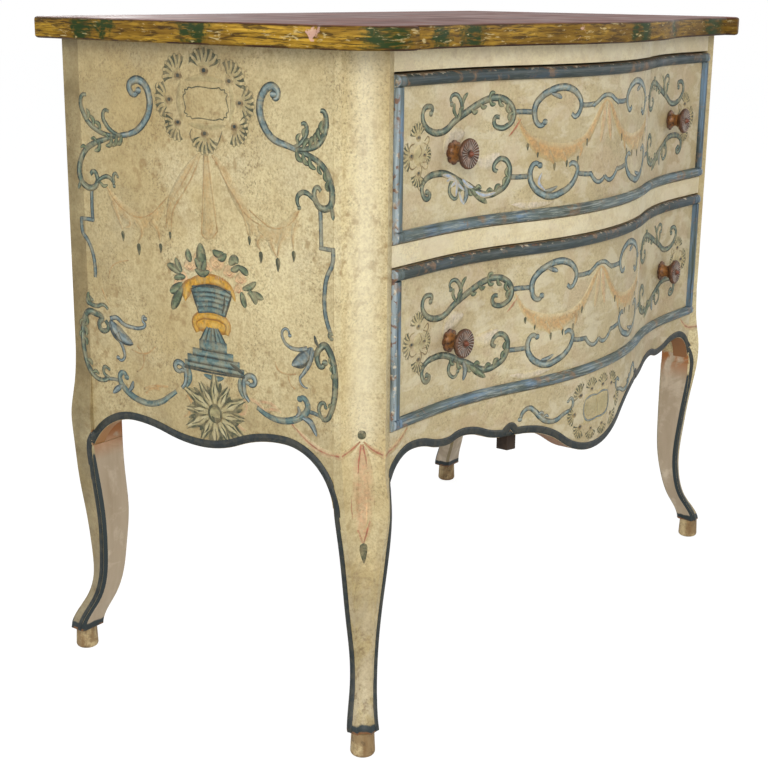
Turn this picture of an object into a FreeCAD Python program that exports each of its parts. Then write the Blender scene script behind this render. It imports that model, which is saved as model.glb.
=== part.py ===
import FreeCAD, Part
import Sketcher
import math
import os

# A painted two-drawer commode on cabriole legs, in millimetres.
# +Z is up and the front looks along -Y. The origin lies on the floor, under the middle of the chest.

# Driving dimensions
SIZES = (
    ("height", 850),
    ("carcass_width", 920),
    ("carcass_depth", 490),
    # Serpentine front: how far it bows, half the width that curves, and how far its ends lie back
    ("front_bow", 53),
    ("bow_half_span", 330),
    ("face_set", 10),
    # Top board: a thick slab over a lip that lies a little further in
    ("top_thickness", 26),
    ("top_lip_height", 5),
    ("top_lip_inset", 4),
    ("top_side_overhang", 30),
    ("top_front_overhang", 26),
    ("top_back_overhang", 6),
    ("lobe_radius", 76),
    ("lobe_centre_set", 48),
    ("side_cusp_place", 62),
    ("front_cusp_place", 45),
    ("cusp_half_width", 5),
    ("cusp_depth", 7),
    # Corner posts and legs
    ("post_width", 50),
    ("front_post_depth", 56),
    ("rear_post_depth", 36),
    ("front_post_cant", 3.5),
    ("front_post_round", 37),
    ("rear_post_round", 8),
    ("post_edge_ease", 0.5),
    ("leg_edge_ease", 4),
    ("planing_allowance", 1),
    ("front_sway", 20),
    ("rear_toe_flare", 21),
    ("rear_side_flare", 11),
    ("ankle_width", 28),
    ("foot_height", 31),
    ("foot_diameter", 30),
    ("foot_wear", 5),
    # Carcass boards and rails
    ("side_thickness", 18),
    ("back_thickness", 15),
    ("back_board_gap", 0.4),
    ("bottom_thickness", 10),
    ("rail_set", 2),
    ("top_rail_height", 24),
    ("middle_rail_height", 25),
    ("apron_top_height", 390),
    ("apron_thickness", 24),
    ("apron_drop_height", 281),
    ("side_drop_height", 337),
    ("front_ear_height", 308),
    ("side_ear_height", 302),
    ("apron_block_width", 14),
    ("apron_block_depth", 16),
    ("apron_block_place", 146),
    ("apron_block_foot", 305),
    ("rear_rail_depth", 20),
    ("runner_width", 62),
    ("runner_height", 20),
    ("guide_height", 24),
    ("stop_depth", 12),
    ("stop_height", 22),
    # Drawers
    ("drawer_height_step", 3),
    ("drawer_foot_gap", 1.2),
    ("drawer_head_gap", 2.8),
    ("drawer_end_gap", 1.5),
    ("running_gap", 0.3),
    ("guide_gap", 0.8),
    ("stop_gap", 0.4),
    ("field_set", 3),
    ("drawer_front_thickness", 22),
    ("drawer_side_thickness", 12),
    ("drawer_side_drop", 14),
    ("drawer_bottom_thickness", 8),
    ("drawer_bottom_raise", 7),
    ("bead_width", 14),
    ("bead_projection", 7),
    ("bead_round", 6),
    # Knobs
    ("knob_place", 290),
    ("lower_knob_drop", 8),
    ("knob_head_diameter", 36),
    ("knob_base_diameter", 24),
    ("knob_neck_diameter", 17),
    ("knob_boss_diameter", 9),
    ("knob_projection", 30),
    ("knob_base_height", 3),
    ("knob_petal_diameter", 9),
    ("knob_seat_gap", 0.3),
    ("knob_shank_diameter", 6),
    ("knob_hole_diameter", 10),
    ("knob_nut_diameter", 16),
    ("knob_nut_height", 5),
    # One overrun for all cuts
    ("overrun", 10),
)

KNOB_PETALS = 8
BACK_BOARDS = 3

# Leg sections from the head of the knee down to the toe. Shares of the apron's top height, then of the
# sway or flare that each leg has outwards: sideways, and to the front or back. A row below the apron
# then gives its widths as shares of the ankle. The last share is of the post's round. A knee row also
# ends with shares of how far the post's front stands back and of its cant.
FRONT_KNEE_SHARES = (
    (1.13, 0.0, 0.0, 1.0, 1.0, 1.0),
    (1.065, 0.01, 0.01, 1.0, 1.0, 1.05),
    (1.0, 0.06, 0.05, 1.0, 1.0, 1.3),
    (0.94, 0.15, 0.12, 0.98, 0.92, 1.9),
    (0.885, 0.25, 0.20, 0.95, 0.82, 2.5),
    (0.795, 0.12, 0.10, 1.0, 0.30, 2.1),
)
FRONT_LEG_SHARES = (
    (0.641, -0.36, -0.48, 1.68, 1.68, 0.78),
    (0.513, -0.72, -0.80, 1.43, 1.43, 0.58),
    (0.385, -0.96, -1.04, 1.18, 1.18, 0.44),
    (0.282, -0.90, -0.98, 1.00, 1.00, 0.35),
    (0.192, -0.40, -0.62, 0.96, 0.96, 0.32),
    (0.108, 0.56, 0.08, 1.07, 1.07, 0.32),
)
FRONT_TOE_SHARES = (0.70, 0.22, 1.11, 1.11, 0.32)
REAR_KNEE_SHARES = (
    (1.13, 0.0, 0.0, 1.0, 0.0, 0.0),
    (1.065, 0.03, 0.02, 1.0, 0.0, 0.0),
    (1.0, 0.15, 0.09, 1.0, 0.0, 0.0),
    (0.94, 0.37, 0.22, 1.0, 0.0, 0.0),
    (0.885, 0.55, 0.33, 1.0, 0.0, 0.0),
    (0.795, 0.45, 0.29, 1.0, 0.0, 0.0),
)
REAR_LEG_SHARES = (
    (0.641, 0.10, 0.14, 1.90, 1.57, 1.0),
    (0.513, -0.36, -0.10, 1.80, 1.46, 1.0),
    (0.385, -0.73, -0.29, 1.55, 1.21, 0.9),
    (0.282, -0.82, -0.29, 1.40, 1.04, 0.9),
    (0.192, -0.36, 0.14, 1.34, 1.00, 0.9),
    (0.108, 0.82, 0.88, 1.44, 1.07, 0.9),
)
REAR_TOE_SHARES = (1.0, 1.0, 1.46, 1.11, 0.9)

# Lower edges: places along the half width of the apron and along the side panel, and how far each
# place rises from the drop in the middle towards the apron's top.
APRON_PEAK_SHARES = (0.888, 0.716)
APRON_LOBE_SHARES = (0.707, 0.596)
APRON_STEP_SHARES = (0.639, 0.642)
APRON_NOTCH_FOOT_SHARES = (0.454, 0.495)
APRON_NOTCH_TIP_SHARES = (0.429, 0.560)
APRON_NOTCH_HEAD_SHARES = (0.410, 0.486)
SIDE_FRONT_PEAK_SHARES = (0.183, 0.547)
SIDE_DROP_SHARE = 0.533
SIDE_REAR_PEAK_SHARES = (0.802, 0.245)

# Turned profile of a knob: shares of the head's radius and of the projection.
KNOB_CAP_SHARE = 0.78
KNOB_WAIST_SHARE = 0.42
KNOB_RIM_SHARE = 0.70
KNOB_DISH_SHARE = 0.86
FOOT_TOP_SHARE = 0.92


class Size:
    """A length worked out from the sheet: its expression and its value in millimetres."""

    def __init__(self, text, value):
        self.text = text
        self.value = value

    @staticmethod
    def of(other):
        return other if isinstance(other, Size) else Size(repr(other), other)

    def __add__(self, other):
        other = Size.of(other)
        return Size(f"({self.text} + {other.text})", self.value + other.value)

    def __sub__(self, other):
        other = Size.of(other)
        return Size(f"({self.text} - {other.text})", self.value - other.value)

    def __mul__(self, other):
        other = Size.of(other)
        return Size(f"({self.text} * {other.text})", self.value * other.value)

    def __truediv__(self, other):
        other = Size.of(other)
        return Size(f"({self.text} / {other.text})", self.value / other.value)

    def __neg__(self):
        return Size(f"(-{self.text})", -self.value)

    def root(self):
        return Size(f"sqrt({self.text})", math.sqrt(self.value))


class Sizes:
    """The sheet's rows by name."""


doc = FreeCAD.newDocument("painted_commode")
sheet = doc.addObject("Spreadsheet::Sheet", "Sizes")
at = Sizes()
for row, (alias, number) in enumerate(SIZES, 1):
    sheet.set(f"A{row}", alias)
    sheet.set(f"B{row}", str(number))
    sheet.setAlias(f"B{row}", alias)
    setattr(at, alias, Size(f"Sizes.{alias}", float(number)))
doc.recompute()

nodes = []
ZERO = Size("0", 0.0)

# Places that several pieces share
half_width = at.carcass_width / 2
leg_top = at.height - at.top_thickness
bow_reach = at.front_bow - at.face_set + at.top_front_overhang
front = (bow_reach - at.carcass_depth - at.rear_toe_flare) / 2
back = front + at.carcass_depth
post_inside = half_width - at.post_width
side_inside = half_width - at.side_thickness
rail_back = front + at.front_post_depth
rear_post_front = back - at.rear_post_depth
back_inside = back - at.back_thickness
bow_radius = (at.bow_half_span * at.bow_half_span + at.front_bow * at.front_bow) / (at.front_bow * 4)
lower_floor = at.apron_top_height
upper_head = leg_top - at.top_rail_height
opening_height = (upper_head - lower_floor - at.middle_rail_height) / 2
fitted_height = opening_height - at.drawer_foot_gap - at.drawer_head_gap
lower_drawer_height = fitted_height + at.drawer_height_step / 2
upper_drawer_height = fitted_height - at.drawer_height_step / 2
lower_head = lower_floor + opening_height + at.drawer_height_step / 2
upper_floor = lower_head + at.middle_rail_height
knee_head = at.apron_top_height * FRONT_KNEE_SHARES[0][0]
back_foot = at.apron_top_height - at.runner_height


def keep(thing, label):
    """Makes an object one of the sub-parts that are written out."""
    thing.Label = label
    nodes.append(thing)
    return thing


def place(thing, x=ZERO, y=ZERO, z=ZERO):
    """Binds the place of an object to the sheet."""
    for axis, size in zip("xyz", (x, y, z)):
        thing.setExpression(f"Placement.Base.{axis}", size.text)


def board(label, low, high, kept=True):
    """A straight board between two corners."""
    box = doc.addObject("Part::Box", label)
    for name, least, most in zip(("Length", "Width", "Height"), low, high):
        box.setExpression(name, (most - least).text)
    place(box, *low)
    return keep(box, label) if kept else box


def mirror_x(side, near, far):
    """The span from near to far of the middle plane, on the left (-1) or on the right (1)."""
    return (near, far) if side > 0 else (-far, -near)


def group(label, pieces):
    """Identical pieces that share one node."""
    compound = doc.addObject("Part::Compound", label)
    compound.Links = pieces
    return keep(compound, label)


# Outlines: a run is a list of points and, between them, None for a line or (radius, turn) for an arc

def backwards(run):
    points, bends = run
    return points[::-1], [bend and (bend[0], -bend[1]) for bend in bends[::-1]]


def mirrored(run):
    """The same run on the other side of the middle plane, walked on from it."""
    points, bends = run
    return [(-x, y) for x, y in points[::-1]], bends[::-1]


def joined(*runs):
    """Runs one after the other. A point that ends one run and starts the next is kept once."""
    points, bends = list(runs[0][0]), list(runs[0][1])
    for more_points, more_bends in runs[1:]:
        shared = all(abs(a.value - b.value) < 1e-9 for a, b in zip(points[-1], more_points[0]))
        bends += ([] if shared else [None]) + list(more_bends)
        points += more_points[1:] if shared else more_points
    return points, bends


def s_curve(start, end):
    """Two equal arcs from one level tangent to another."""
    across, rise = end[0] - start[0], end[1] - start[1]
    radius = (across * across + rise * rise) / (rise * 4)
    turn = 1 if across.value * rise.value > 0 else -1
    radius = radius if radius.value > 0 else -radius
    middle = (start[0] + across / 2, start[1] + rise / 2)
    return [start, middle, end], [(radius, turn), (radius, -turn)]


def shoulder(foot, peak, turn):
    """One arc from a steep foot to a peak where it lies level."""
    across, rise = peak[0] - foot[0], peak[1] - foot[1]
    return [foot, peak], [((across * across + rise * rise) / (rise * 2), turn)]


def serpentine(offset, reach):
    """The front's curve, offset towards the back, from the left end to the right end."""
    end = front + at.face_set + offset
    share = (bow_radius - offset) / bow_radius
    turn_x = at.bow_half_span / 2 * share
    crown = front + at.face_set - at.front_bow + bow_radius
    turn_y = crown - (bow_radius - at.front_bow / 2) * share
    points = [(-reach, end), (-at.bow_half_span, end), (-turn_x, turn_y),
              (turn_x, turn_y), (at.bow_half_span, end), (reach, end)]
    hollow, swell = bow_radius + offset, bow_radius - offset
    return points, [None, (hollow, -1), (swell, 1), (hollow, -1), None]


def arc_between(start, end, radius, turn):
    """The arc under a half circle from start to end, turning left (1) or right (-1)."""
    chord = end - start
    rise = math.sqrt(max(radius * radius - chord.Length ** 2 / 4, 0))
    left = FreeCAD.Vector(-chord.y, chord.x, 0).normalize()
    centre = (start + end) / 2 + left * rise * turn
    first, last = (start, end) if turn > 0 else (end, start)
    low = math.atan2(first.y - centre.y, first.x - centre.x)
    high = math.atan2(last.y - centre.y, last.x - centre.x)
    if high < low:
        high += 2 * math.pi
    return Part.ArcOfCircle(Part.Circle(centre, FreeCAD.Vector(0, 0, 1), radius), low, high)


def draw(sketch, run):
    """Draws a closed run, with each point and each radius bound to the sheet."""
    points, bends = run
    bends = list(bends) + [None] * (len(points) - len(bends))
    corners = [FreeCAD.Vector(x.value, y.value, 0) for x, y in points]
    ends = []
    for index, bend in enumerate(bends):
        start, end = corners[index], corners[(index + 1) % len(corners)]
        if bend is None:
            sketch.addGeometry(Part.LineSegment(start, end))
        else:
            sketch.addGeometry(arc_between(start, end, bend[0].value, bend[1]))
        ends.append((2, 1) if bend and bend[1] < 0 else (1, 2))
    rules, bound = [], []
    for index, (x, y) in enumerate(points):
        start = ends[index][0]
        rules.append(Sketcher.Constraint("Coincident", index - 1 if index else len(points) - 1,
                                         ends[index - 1][1], index, start))
        for kind, size in (("DistanceX", x), ("DistanceY", y)):
            bound.append((len(rules), size))
            rules.append(Sketcher.Constraint(kind, index, start, size.value))
        if bends[index]:
            bound.append((len(rules), bends[index][0]))
            rules.append(Sketcher.Constraint("Radius", index, bends[index][0].value))
    sketch.addConstraint(rules)
    for rule, size in bound:
        sketch.setExpression(f"Constraints[{rule}]", size.text)


def new_body(label):
    return doc.addObject("PartDesign::Body", label)


def new_sketch(body, plane, run=None, lift=None):
    """A sketch on one of the body's origin planes, lifted off it where asked."""
    sketch = body.newObject("Sketcher::SketchObject", "outline")
    support = [item for item in body.Origin.OriginFeatures if item.Role == plane][0]
    sketch.AttachmentSupport = [(support, "")]
    sketch.MapMode = "FlatFace"
    if lift is not None:
        sketch.setExpression("AttachmentOffset.Base.z", lift.text)
    if run is not None:
        draw(sketch, run)
    return sketch


def pad(body, sketch, length):
    feature = body.newObject("PartDesign::Pad", "pad")
    feature.Profile = sketch
    feature.setExpression("Length", length.text)
    return feature


def padded(label, plane, run, length, kept=True):
    """A piece sawn to an outline."""
    body = new_body(label)
    pad(body, new_sketch(body, plane, run), length)
    return keep(body, label) if kept else body


def pocket(body, sketch, upwards=False):
    """A cut through the whole body, both ways from the sketch or upwards, that is checked to have cut."""
    doc.recompute()
    before = body.Shape.Volume
    feature = body.newObject("PartDesign::Pocket", "cut")
    feature.Profile = sketch
    feature.Type = "ThroughAll"
    feature.Midplane = not upwards
    feature.Reversed = upwards
    doc.recompute()
    if not body.Shape.Volume < before:
        raise RuntimeError(body.Label + ": a cut took nothing away")


def band(offset, thickness, reach):
    """The plan of a board that follows the serpentine on both faces."""
    return joined(serpentine(offset, reach), backwards(serpentine(offset + thickness, reach)))


def flat_backed(offset, back_line, reach):
    """The plan of a rail with a serpentine front and a straight back."""
    return joined(serpentine(offset, reach), ([(reach, back_line), (-reach, back_line)], [None]))


# Top board

def top_outline(inset):
    side = half_width + at.top_side_overhang - inset
    lobe = at.lobe_radius - inset
    lobe_x = half_width - at.lobe_centre_set
    lobe_y = front + at.lobe_centre_set
    cusp_y = front + at.side_cusp_place
    side_drop = cusp_y - at.cusp_half_width - lobe_y
    cusp_x = half_width - at.front_cusp_place
    front_reach = cusp_x + at.cusp_half_width - lobe_x
    front_edge = front + at.face_set - at.top_front_overhang + inset
    edge = ([(-side, back + at.top_back_overhang), (-side, cusp_y + at.cusp_half_width),
             (-(side - at.cusp_depth), cusp_y),
             (-(lobe_x + (lobe * lobe - side_drop * side_drop).root()), lobe_y + side_drop),
             (-(lobe_x + front_reach), lobe_y - (lobe * lobe - front_reach * front_reach).root()),
             (-cusp_x, front_edge + at.cusp_depth / 2)],
            [None, None, None, (lobe, 1), None])
    curve = serpentine(inset - at.top_front_overhang, cusp_x - at.cusp_half_width)
    return joined(edge, curve, mirrored(edge))


def make_top():
    body = new_body("top_board")
    layers = ((ZERO, at.top_lip_inset, at.top_lip_height),
              (at.top_lip_height, ZERO, at.top_thickness - at.top_lip_height))
    for lift, inset, thickness in layers:
        pad(body, new_sketch(body, "XY_Plane", top_outline(inset), lift), thickness)
    place(body, z=leg_top)
    keep(body, "top_board")


# Legs and feet

def leg_section(side, end, flare, width, corner, cant=(ZERO, ZERO)):
    """A section of a leg, its round outer corner first, with the other corners eased.

    The side is -1 on the left and the end is -1 at the front. The corner is (round, ease). The cant is
    how far the outer faces fall off away from the round: the side, and the face to the front or back.
    """
    outer_x = (half_width + flare[0]) * side
    inner_x = (half_width + flare[0] - width[0]) * side
    plane = front if end < 0 else back
    outer_y = plane + flare[1] * end
    inner_y = plane + (flare[1] - width[1]) * end
    corners = [(outer_x, outer_y), (inner_x, outer_y - cant[1] * end),
               (inner_x, inner_y), (outer_x - cant[0] * side, inner_y)]
    steps = ((side * -1, 0), (0, end * -1), (side, 0), (0, end))
    turn = -side * end
    points, bends = [], []
    for index, (x, y) in enumerate(corners):
        cut = corner[0] if index == 0 else corner[1]
        before, after = steps[index - 1], steps[index]
        points += [(x - cut * before[0], y - cut * before[1]), (x + cut * after[0], y + cut * after[1])]
        bends += [(cut, turn) if index == 0 else None, None]
    return points, bends


def post_set(end):
    """How far a post stands back. The rails lie flush with the inner edge of a front post."""
    return at.face_set + at.rail_set - at.front_post_cant if end < 0 else ZERO


def leg_forms(end):
    """What tells a front leg from a rear one: post, flare, outer round, knee rows, shank rows and toe."""
    if end < 0:
        return ((at.post_width, at.front_post_depth), (at.front_sway, at.front_sway), at.front_post_round,
                FRONT_KNEE_SHARES, FRONT_LEG_SHARES, FRONT_TOE_SHARES)
    return ((at.post_width, at.rear_post_depth), (at.rear_side_flare, at.rear_toe_flare), at.rear_post_round,
            REAR_KNEE_SHARES, REAR_LEG_SHARES, REAR_TOE_SHARES)


def leg_sections(side, end):
    """The leg's sections from the toe up to the head of the knee, each with its height."""
    post, flare, outer_round, knees, shanks, toe = leg_forms(end)
    rows = [(at.foot_height, toe)] + [(at.apron_top_height * row[0], row[1:]) for row in reversed(shanks)]
    for height, shares in rows:
        out = (flare[0] * shares[0], flare[1] * shares[1])
        width = (at.ankle_width * shares[2], at.ankle_width * shares[3])
        yield height, leg_section(side, end, out, width, (outer_round * shares[4], at.leg_edge_ease))
    for row in reversed(knees):
        out = (flare[0] * row[1], flare[1] * row[2] - post_set(end) * row[4])
        width = (post[0] + out[0] + at.planing_allowance, post[1] + out[1] + at.planing_allowance)
        corner = (outer_round * row[3], at.post_edge_ease + at.planing_allowance)
        cant = (out[0] if end < 0 else ZERO, at.front_post_cant * row[5])
        yield at.apron_top_height * row[0], leg_section(side, end, out, width, corner, cant)


def plane_joints(body, side, end):
    """Planes the knee flat where the apron or the back joins it, and where the side does."""
    outer_plane, depth = (front, at.front_post_depth) if end < 0 else (back, at.rear_post_depth)
    inner_y = outer_plane - depth * end
    beyond_y = inner_y - at.overrun * end
    outer_y = outer_plane + at.overrun * end
    near, far = (post_inside - at.overrun) * side, (half_width + at.overrun) * side
    inner_x = post_inside * side
    rails = ([(near, outer_y), (inner_x, outer_y), (inner_x, beyond_y), (near, beyond_y)], [None] * 3)
    sides = ([(near, inner_y), (far, inner_y), (far, beyond_y), (near, beyond_y)], [None] * 3)
    for run, foot in ((rails, at.front_ear_height if end < 0 else back_foot), (sides, at.side_ear_height)):
        pocket(body, new_sketch(body, "XY_Plane", run, foot), upwards=True)


def make_leg(label, side, end):
    """A cabriole leg and the corner post above it, in one piece."""
    body = new_body(label)
    sketches = [new_sketch(body, "XY_Plane", run, height) for height, run in leg_sections(side, end)]
    doc.recompute()
    loft = body.newObject("PartDesign::AdditiveLoft", "cabriole")
    loft.Profile = sketches[0]
    loft.Sections = sketches[1:]
    plane_joints(body, side, end)
    post, flare, outer_round = leg_forms(end)[:3]
    cant = at.front_post_cant if end < 0 else ZERO
    run = leg_section(side, end, (ZERO, -post_set(end)), (post[0], post[1] - post_set(end)),
                      (outer_round, at.post_edge_ease), (ZERO, cant))
    pad(body, new_sketch(body, "XY_Plane", run, knee_head), leg_top - knee_head)
    keep(body, label)


def make_foot(label, side, end):
    """A turned peg under the toe, worn round at the floor."""
    post, flare, outer_round, knees, shanks, toe = leg_forms(end)
    radius = at.foot_diameter / 2
    neck = radius * FOOT_TOP_SHARE
    body = new_body(label)
    run = ([(ZERO, ZERO), (radius - at.foot_wear, ZERO), (radius, at.foot_wear),
            (neck, at.foot_height), (ZERO, at.foot_height)],
           [None, (at.foot_wear, 1), None, None])
    turned(body, new_sketch(body, "XZ_Plane", run))
    out_x = flare[0] * toe[0] - at.ankle_width * toe[2] / 2
    out_y = flare[1] * toe[1] - at.ankle_width * toe[3] / 2
    plane = front if end < 0 else back
    place(body, (half_width + out_x) * side, plane + out_y * end)
    keep(body, label)


def turned(body, sketch):
    """Turns a profile about the upright axis of its sketch."""
    feature = body.newObject("PartDesign::Revolution", "turned")
    feature.Profile = sketch
    feature.ReferenceAxis = (sketch, ["V_Axis"])
    feature.Angle = 360


# Sides, back, rails and apron

def make_side(label, side):
    low_y, high_y = rail_back, rear_post_front
    rise = at.apron_top_height - at.side_drop_height
    span = high_y - low_y

    def station(shares):
        return low_y + span * shares[0], at.side_drop_height + rise * shares[1]

    drop = (low_y + span * SIDE_DROP_SHARE, at.side_drop_height)
    front_peak, rear_peak = station(SIDE_FRONT_PEAK_SHARES), station(SIDE_REAR_PEAK_SHARES)
    front_foot, rear_foot = (low_y, at.side_ear_height), (high_y, at.side_ear_height)
    edge = joined(shoulder(front_foot, front_peak, -1), s_curve(front_peak, drop),
                  s_curve(drop, rear_peak), backwards(shoulder(rear_foot, rear_peak, 1)))
    run = joined(edge, ([(high_y, leg_top), (low_y, leg_top)], [None]))
    panel = padded(label, "YZ_Plane", run, at.side_thickness)
    place(panel, side_inside if side > 0 else -half_width)


def make_back():
    step = (leg_top - back_foot) / BACK_BOARDS
    for index, name in enumerate(("bottom", "middle", "top")):
        low = back_foot + step * index
        board(f"back_board_{name}", (-post_inside, back_inside, low),
              (post_inside, back, low + step - (at.back_board_gap if name != "top" else ZERO)))
    board("rear_top_rail", (-post_inside, back_inside - at.rear_rail_depth, upper_head),
          (post_inside, back_inside, leg_top))


def make_rails():
    plan = flat_backed(at.rail_set, rail_back, post_inside)
    place(padded("top_rail", "XY_Plane", plan, at.top_rail_height), z=upper_head)
    place(padded("middle_rail", "XY_Plane", plan, at.middle_rail_height), z=lower_head)


def apron_edge(foot):
    """The apron's lower edge, measured from the foot of its blank."""
    rise = at.apron_top_height - at.apron_drop_height
    drop = at.apron_drop_height - foot

    def station(shares):
        return -(post_inside * shares[0]), drop + rise * shares[1]

    ear = (-post_inside, at.front_ear_height - foot)
    peak, lobe, step = (station(s) for s in (APRON_PEAK_SHARES, APRON_LOBE_SHARES, APRON_STEP_SHARES))
    notch_foot, tip = station(APRON_NOTCH_FOOT_SHARES), station(APRON_NOTCH_TIP_SHARES)
    head = station(APRON_NOTCH_HEAD_SHARES)
    left = joined(shoulder(ear, peak, -1), s_curve(peak, lobe), s_curve(lobe, step),
                  s_curve(step, notch_foot), ([notch_foot, tip, head], [None, None]),
                  s_curve(head, (ZERO, drop)))
    return joined(left, mirrored(left))


def make_apron():
    foot = at.apron_drop_height - at.overrun
    body = new_body("apron")
    plan = band(at.rail_set, at.apron_thickness, post_inside)
    pad(body, new_sketch(body, "XY_Plane", plan), at.apron_top_height - foot)
    edge = apron_edge(foot)
    wide = post_inside + at.overrun
    below = ([(wide, edge[0][-1][1]), (wide, -at.overrun), (-wide, -at.overrun), (-wide, edge[0][0][1])],
             [None, None, None])
    pocket(body, new_sketch(body, "XZ_Plane", joined(edge, below)))
    place(body, z=foot)
    keep(body, "apron")


def make_apron_blocks():
    """Glue blocks behind the apron, under the bottom board. Their feet show through the notches."""
    inner = at.apron_block_place - at.apron_block_width / 2
    outer = at.apron_block_place + at.apron_block_width / 2
    radius = bow_radius - at.rail_set - at.apron_thickness
    crown = front + at.face_set - at.front_bow + bow_radius

    def on_back(x):
        return crown - (radius * radius - x * x).root()

    deep = on_back(outer) + at.apron_block_depth
    head = at.apron_top_height - at.bottom_thickness
    blocks = []
    for side, name in ((-1, "left"), (1, "right")):
        run = ([(inner * side, on_back(inner)), (outer * side, on_back(outer)),
                (outer * side, deep), (inner * side, deep)], [(radius, side), None, None])
        block = padded(f"apron_block_{name}", "XY_Plane", run, head - at.apron_block_foot, False)
        place(block, z=at.apron_block_foot)
        blocks.append(block)
    group("apron_glue_blocks", blocks)


# What the drawers run on

def make_runners():
    inner = half_width - at.side_thickness - at.runner_width
    guide_inner = post_inside - at.drawer_end_gap + at.guide_gap
    for level, floor in (("lower", lower_floor), ("upper", upper_floor)):
        for side, name in ((-1, "left"), (1, "right")):
            near, far = mirror_x(side, inner, side_inside)
            board(f"{level}_{name}_runner", (near, rail_back, floor - at.runner_height),
                  (far, rear_post_front, floor))
            near, far = mirror_x(side, guide_inner, side_inside)
            board(f"{level}_{name}_guide", (near, rail_back, floor),
                  (far, rear_post_front, floor + at.guide_height))
    for side, name in ((-1, "left"), (1, "right")):
        near, far = mirror_x(side, inner, side_inside)
        board(f"{name}_kicker", (near, rail_back, upper_head), (far, rear_post_front, leg_top))
    plan = joined(serpentine(at.rail_set + at.apron_thickness, inner),
                  ([(inner, back_inside), (-inner, back_inside)], [None]))
    bottom = padded("bottom_board", "XY_Plane", plan, at.bottom_thickness)
    place(bottom, z=lower_floor - at.bottom_thickness)
    board("dust_board", (-inner, rail_back, upper_floor - at.runner_height),
          (inner, back_inside, upper_floor - at.runner_height + at.bottom_thickness))


def make_stops(level, floor):
    """Blocks on the back boards that the drawer's sides close against."""
    outer = post_inside - at.drawer_end_gap
    stops = []
    for side in (-1, 1):
        near, far = mirror_x(side, outer - at.drawer_side_thickness - at.stop_depth, outer)
        stops.append(board(f"{level}_stop", (near, back_inside - at.stop_depth, floor + at.drawer_foot_gap),
                           (far, back_inside, floor + at.drawer_foot_gap + at.stop_height), False))
    group(f"{level}_drawer_stops", stops)


# Drawers

def make_drawer(level, floor, tall, knob_height):
    """One drawer: serpentine front, sides, back, bottom, bead and knobs."""
    reach = post_inside - at.drawer_end_gap
    foot = floor + at.drawer_foot_gap
    inner_face = at.field_set + at.drawer_front_thickness
    side_front = front + at.face_set + inner_face
    side_back = back_inside - at.stop_depth - at.stop_gap
    side_in = reach - at.drawer_side_thickness
    side_foot = floor + at.running_gap
    side_head = foot + tall - at.drawer_side_drop
    body = new_body(f"{level}_drawer_front")
    plan = band(at.field_set, at.drawer_front_thickness, reach)
    pad(body, new_sketch(body, "XY_Plane", plan), tall)
    holes = new_sketch(body, "XZ_Plane")
    for side in (-1, 1):
        bore(holes, at.knob_place * side, knob_height, at.knob_hole_diameter / 2)
    pocket(body, holes)
    place(body, z=foot)
    keep(body, f"{level}_drawer_front")
    for side, name in ((-1, "left"), (1, "right")):
        near, far = mirror_x(side, side_in, reach)
        board(f"{level}_drawer_{name}_side", (near, side_front, side_foot), (far, side_back, side_head))
    bottom_foot = side_foot + at.drawer_bottom_raise
    bottom_head = bottom_foot + at.drawer_bottom_thickness
    board(f"{level}_drawer_back", (-side_in, side_back - at.drawer_side_thickness, bottom_head),
          (side_in, side_back, side_head))
    plan = joined(serpentine(inner_face, side_in), ([(side_in, side_back), (-side_in, side_back)], [None]))
    bottom = padded(f"{level}_drawer_bottom", "XY_Plane", plan, at.drawer_bottom_thickness)
    place(bottom, z=bottom_foot)
    make_bead(level, reach, foot, tall)
    make_knobs(level, foot + knob_height)


def bore(sketch, x, y, radius):
    """A circle with its centre and radius bound to the sheet."""
    centre = FreeCAD.Vector(x.value, y.value, 0)
    circle = sketch.addGeometry(Part.Circle(centre, FreeCAD.Vector(0, 0, 1), radius.value))
    for kind, spot, size in (("DistanceX", (circle, 3), x), ("DistanceY", (circle, 3), y),
                             ("Radius", (circle,), radius)):
        rule = sketch.addConstraint(Sketcher.Constraint(kind, *spot, size.value))
        sketch.setExpression(f"Constraints[{rule}]", size.text)


def front_edges(shape):
    """The long edges of a strip's face, which the bead's round takes off."""
    names = []
    probe = at.bead_round.value / 2
    for index, edge in enumerate(shape.Edges, 1):
        halfway = (edge.FirstParameter + edge.LastParameter) / 2
        middle, along = edge.valueAt(halfway), edge.tangentAt(halfway)
        if abs(along.x) < abs(along.y) or abs(along.x) < abs(along.z):
            continue
        behind = FreeCAD.Vector(-along.y, along.x, 0) * math.copysign(1, along.x)
        inward = FreeCAD.Vector(0, 0, math.copysign(1, shape.BoundBox.Center.z - middle.z))
        if shape.isInside(middle + (behind + inward) * probe, 1e-6, False):
            names.append(f"Edge{index}")
    return names


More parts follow.
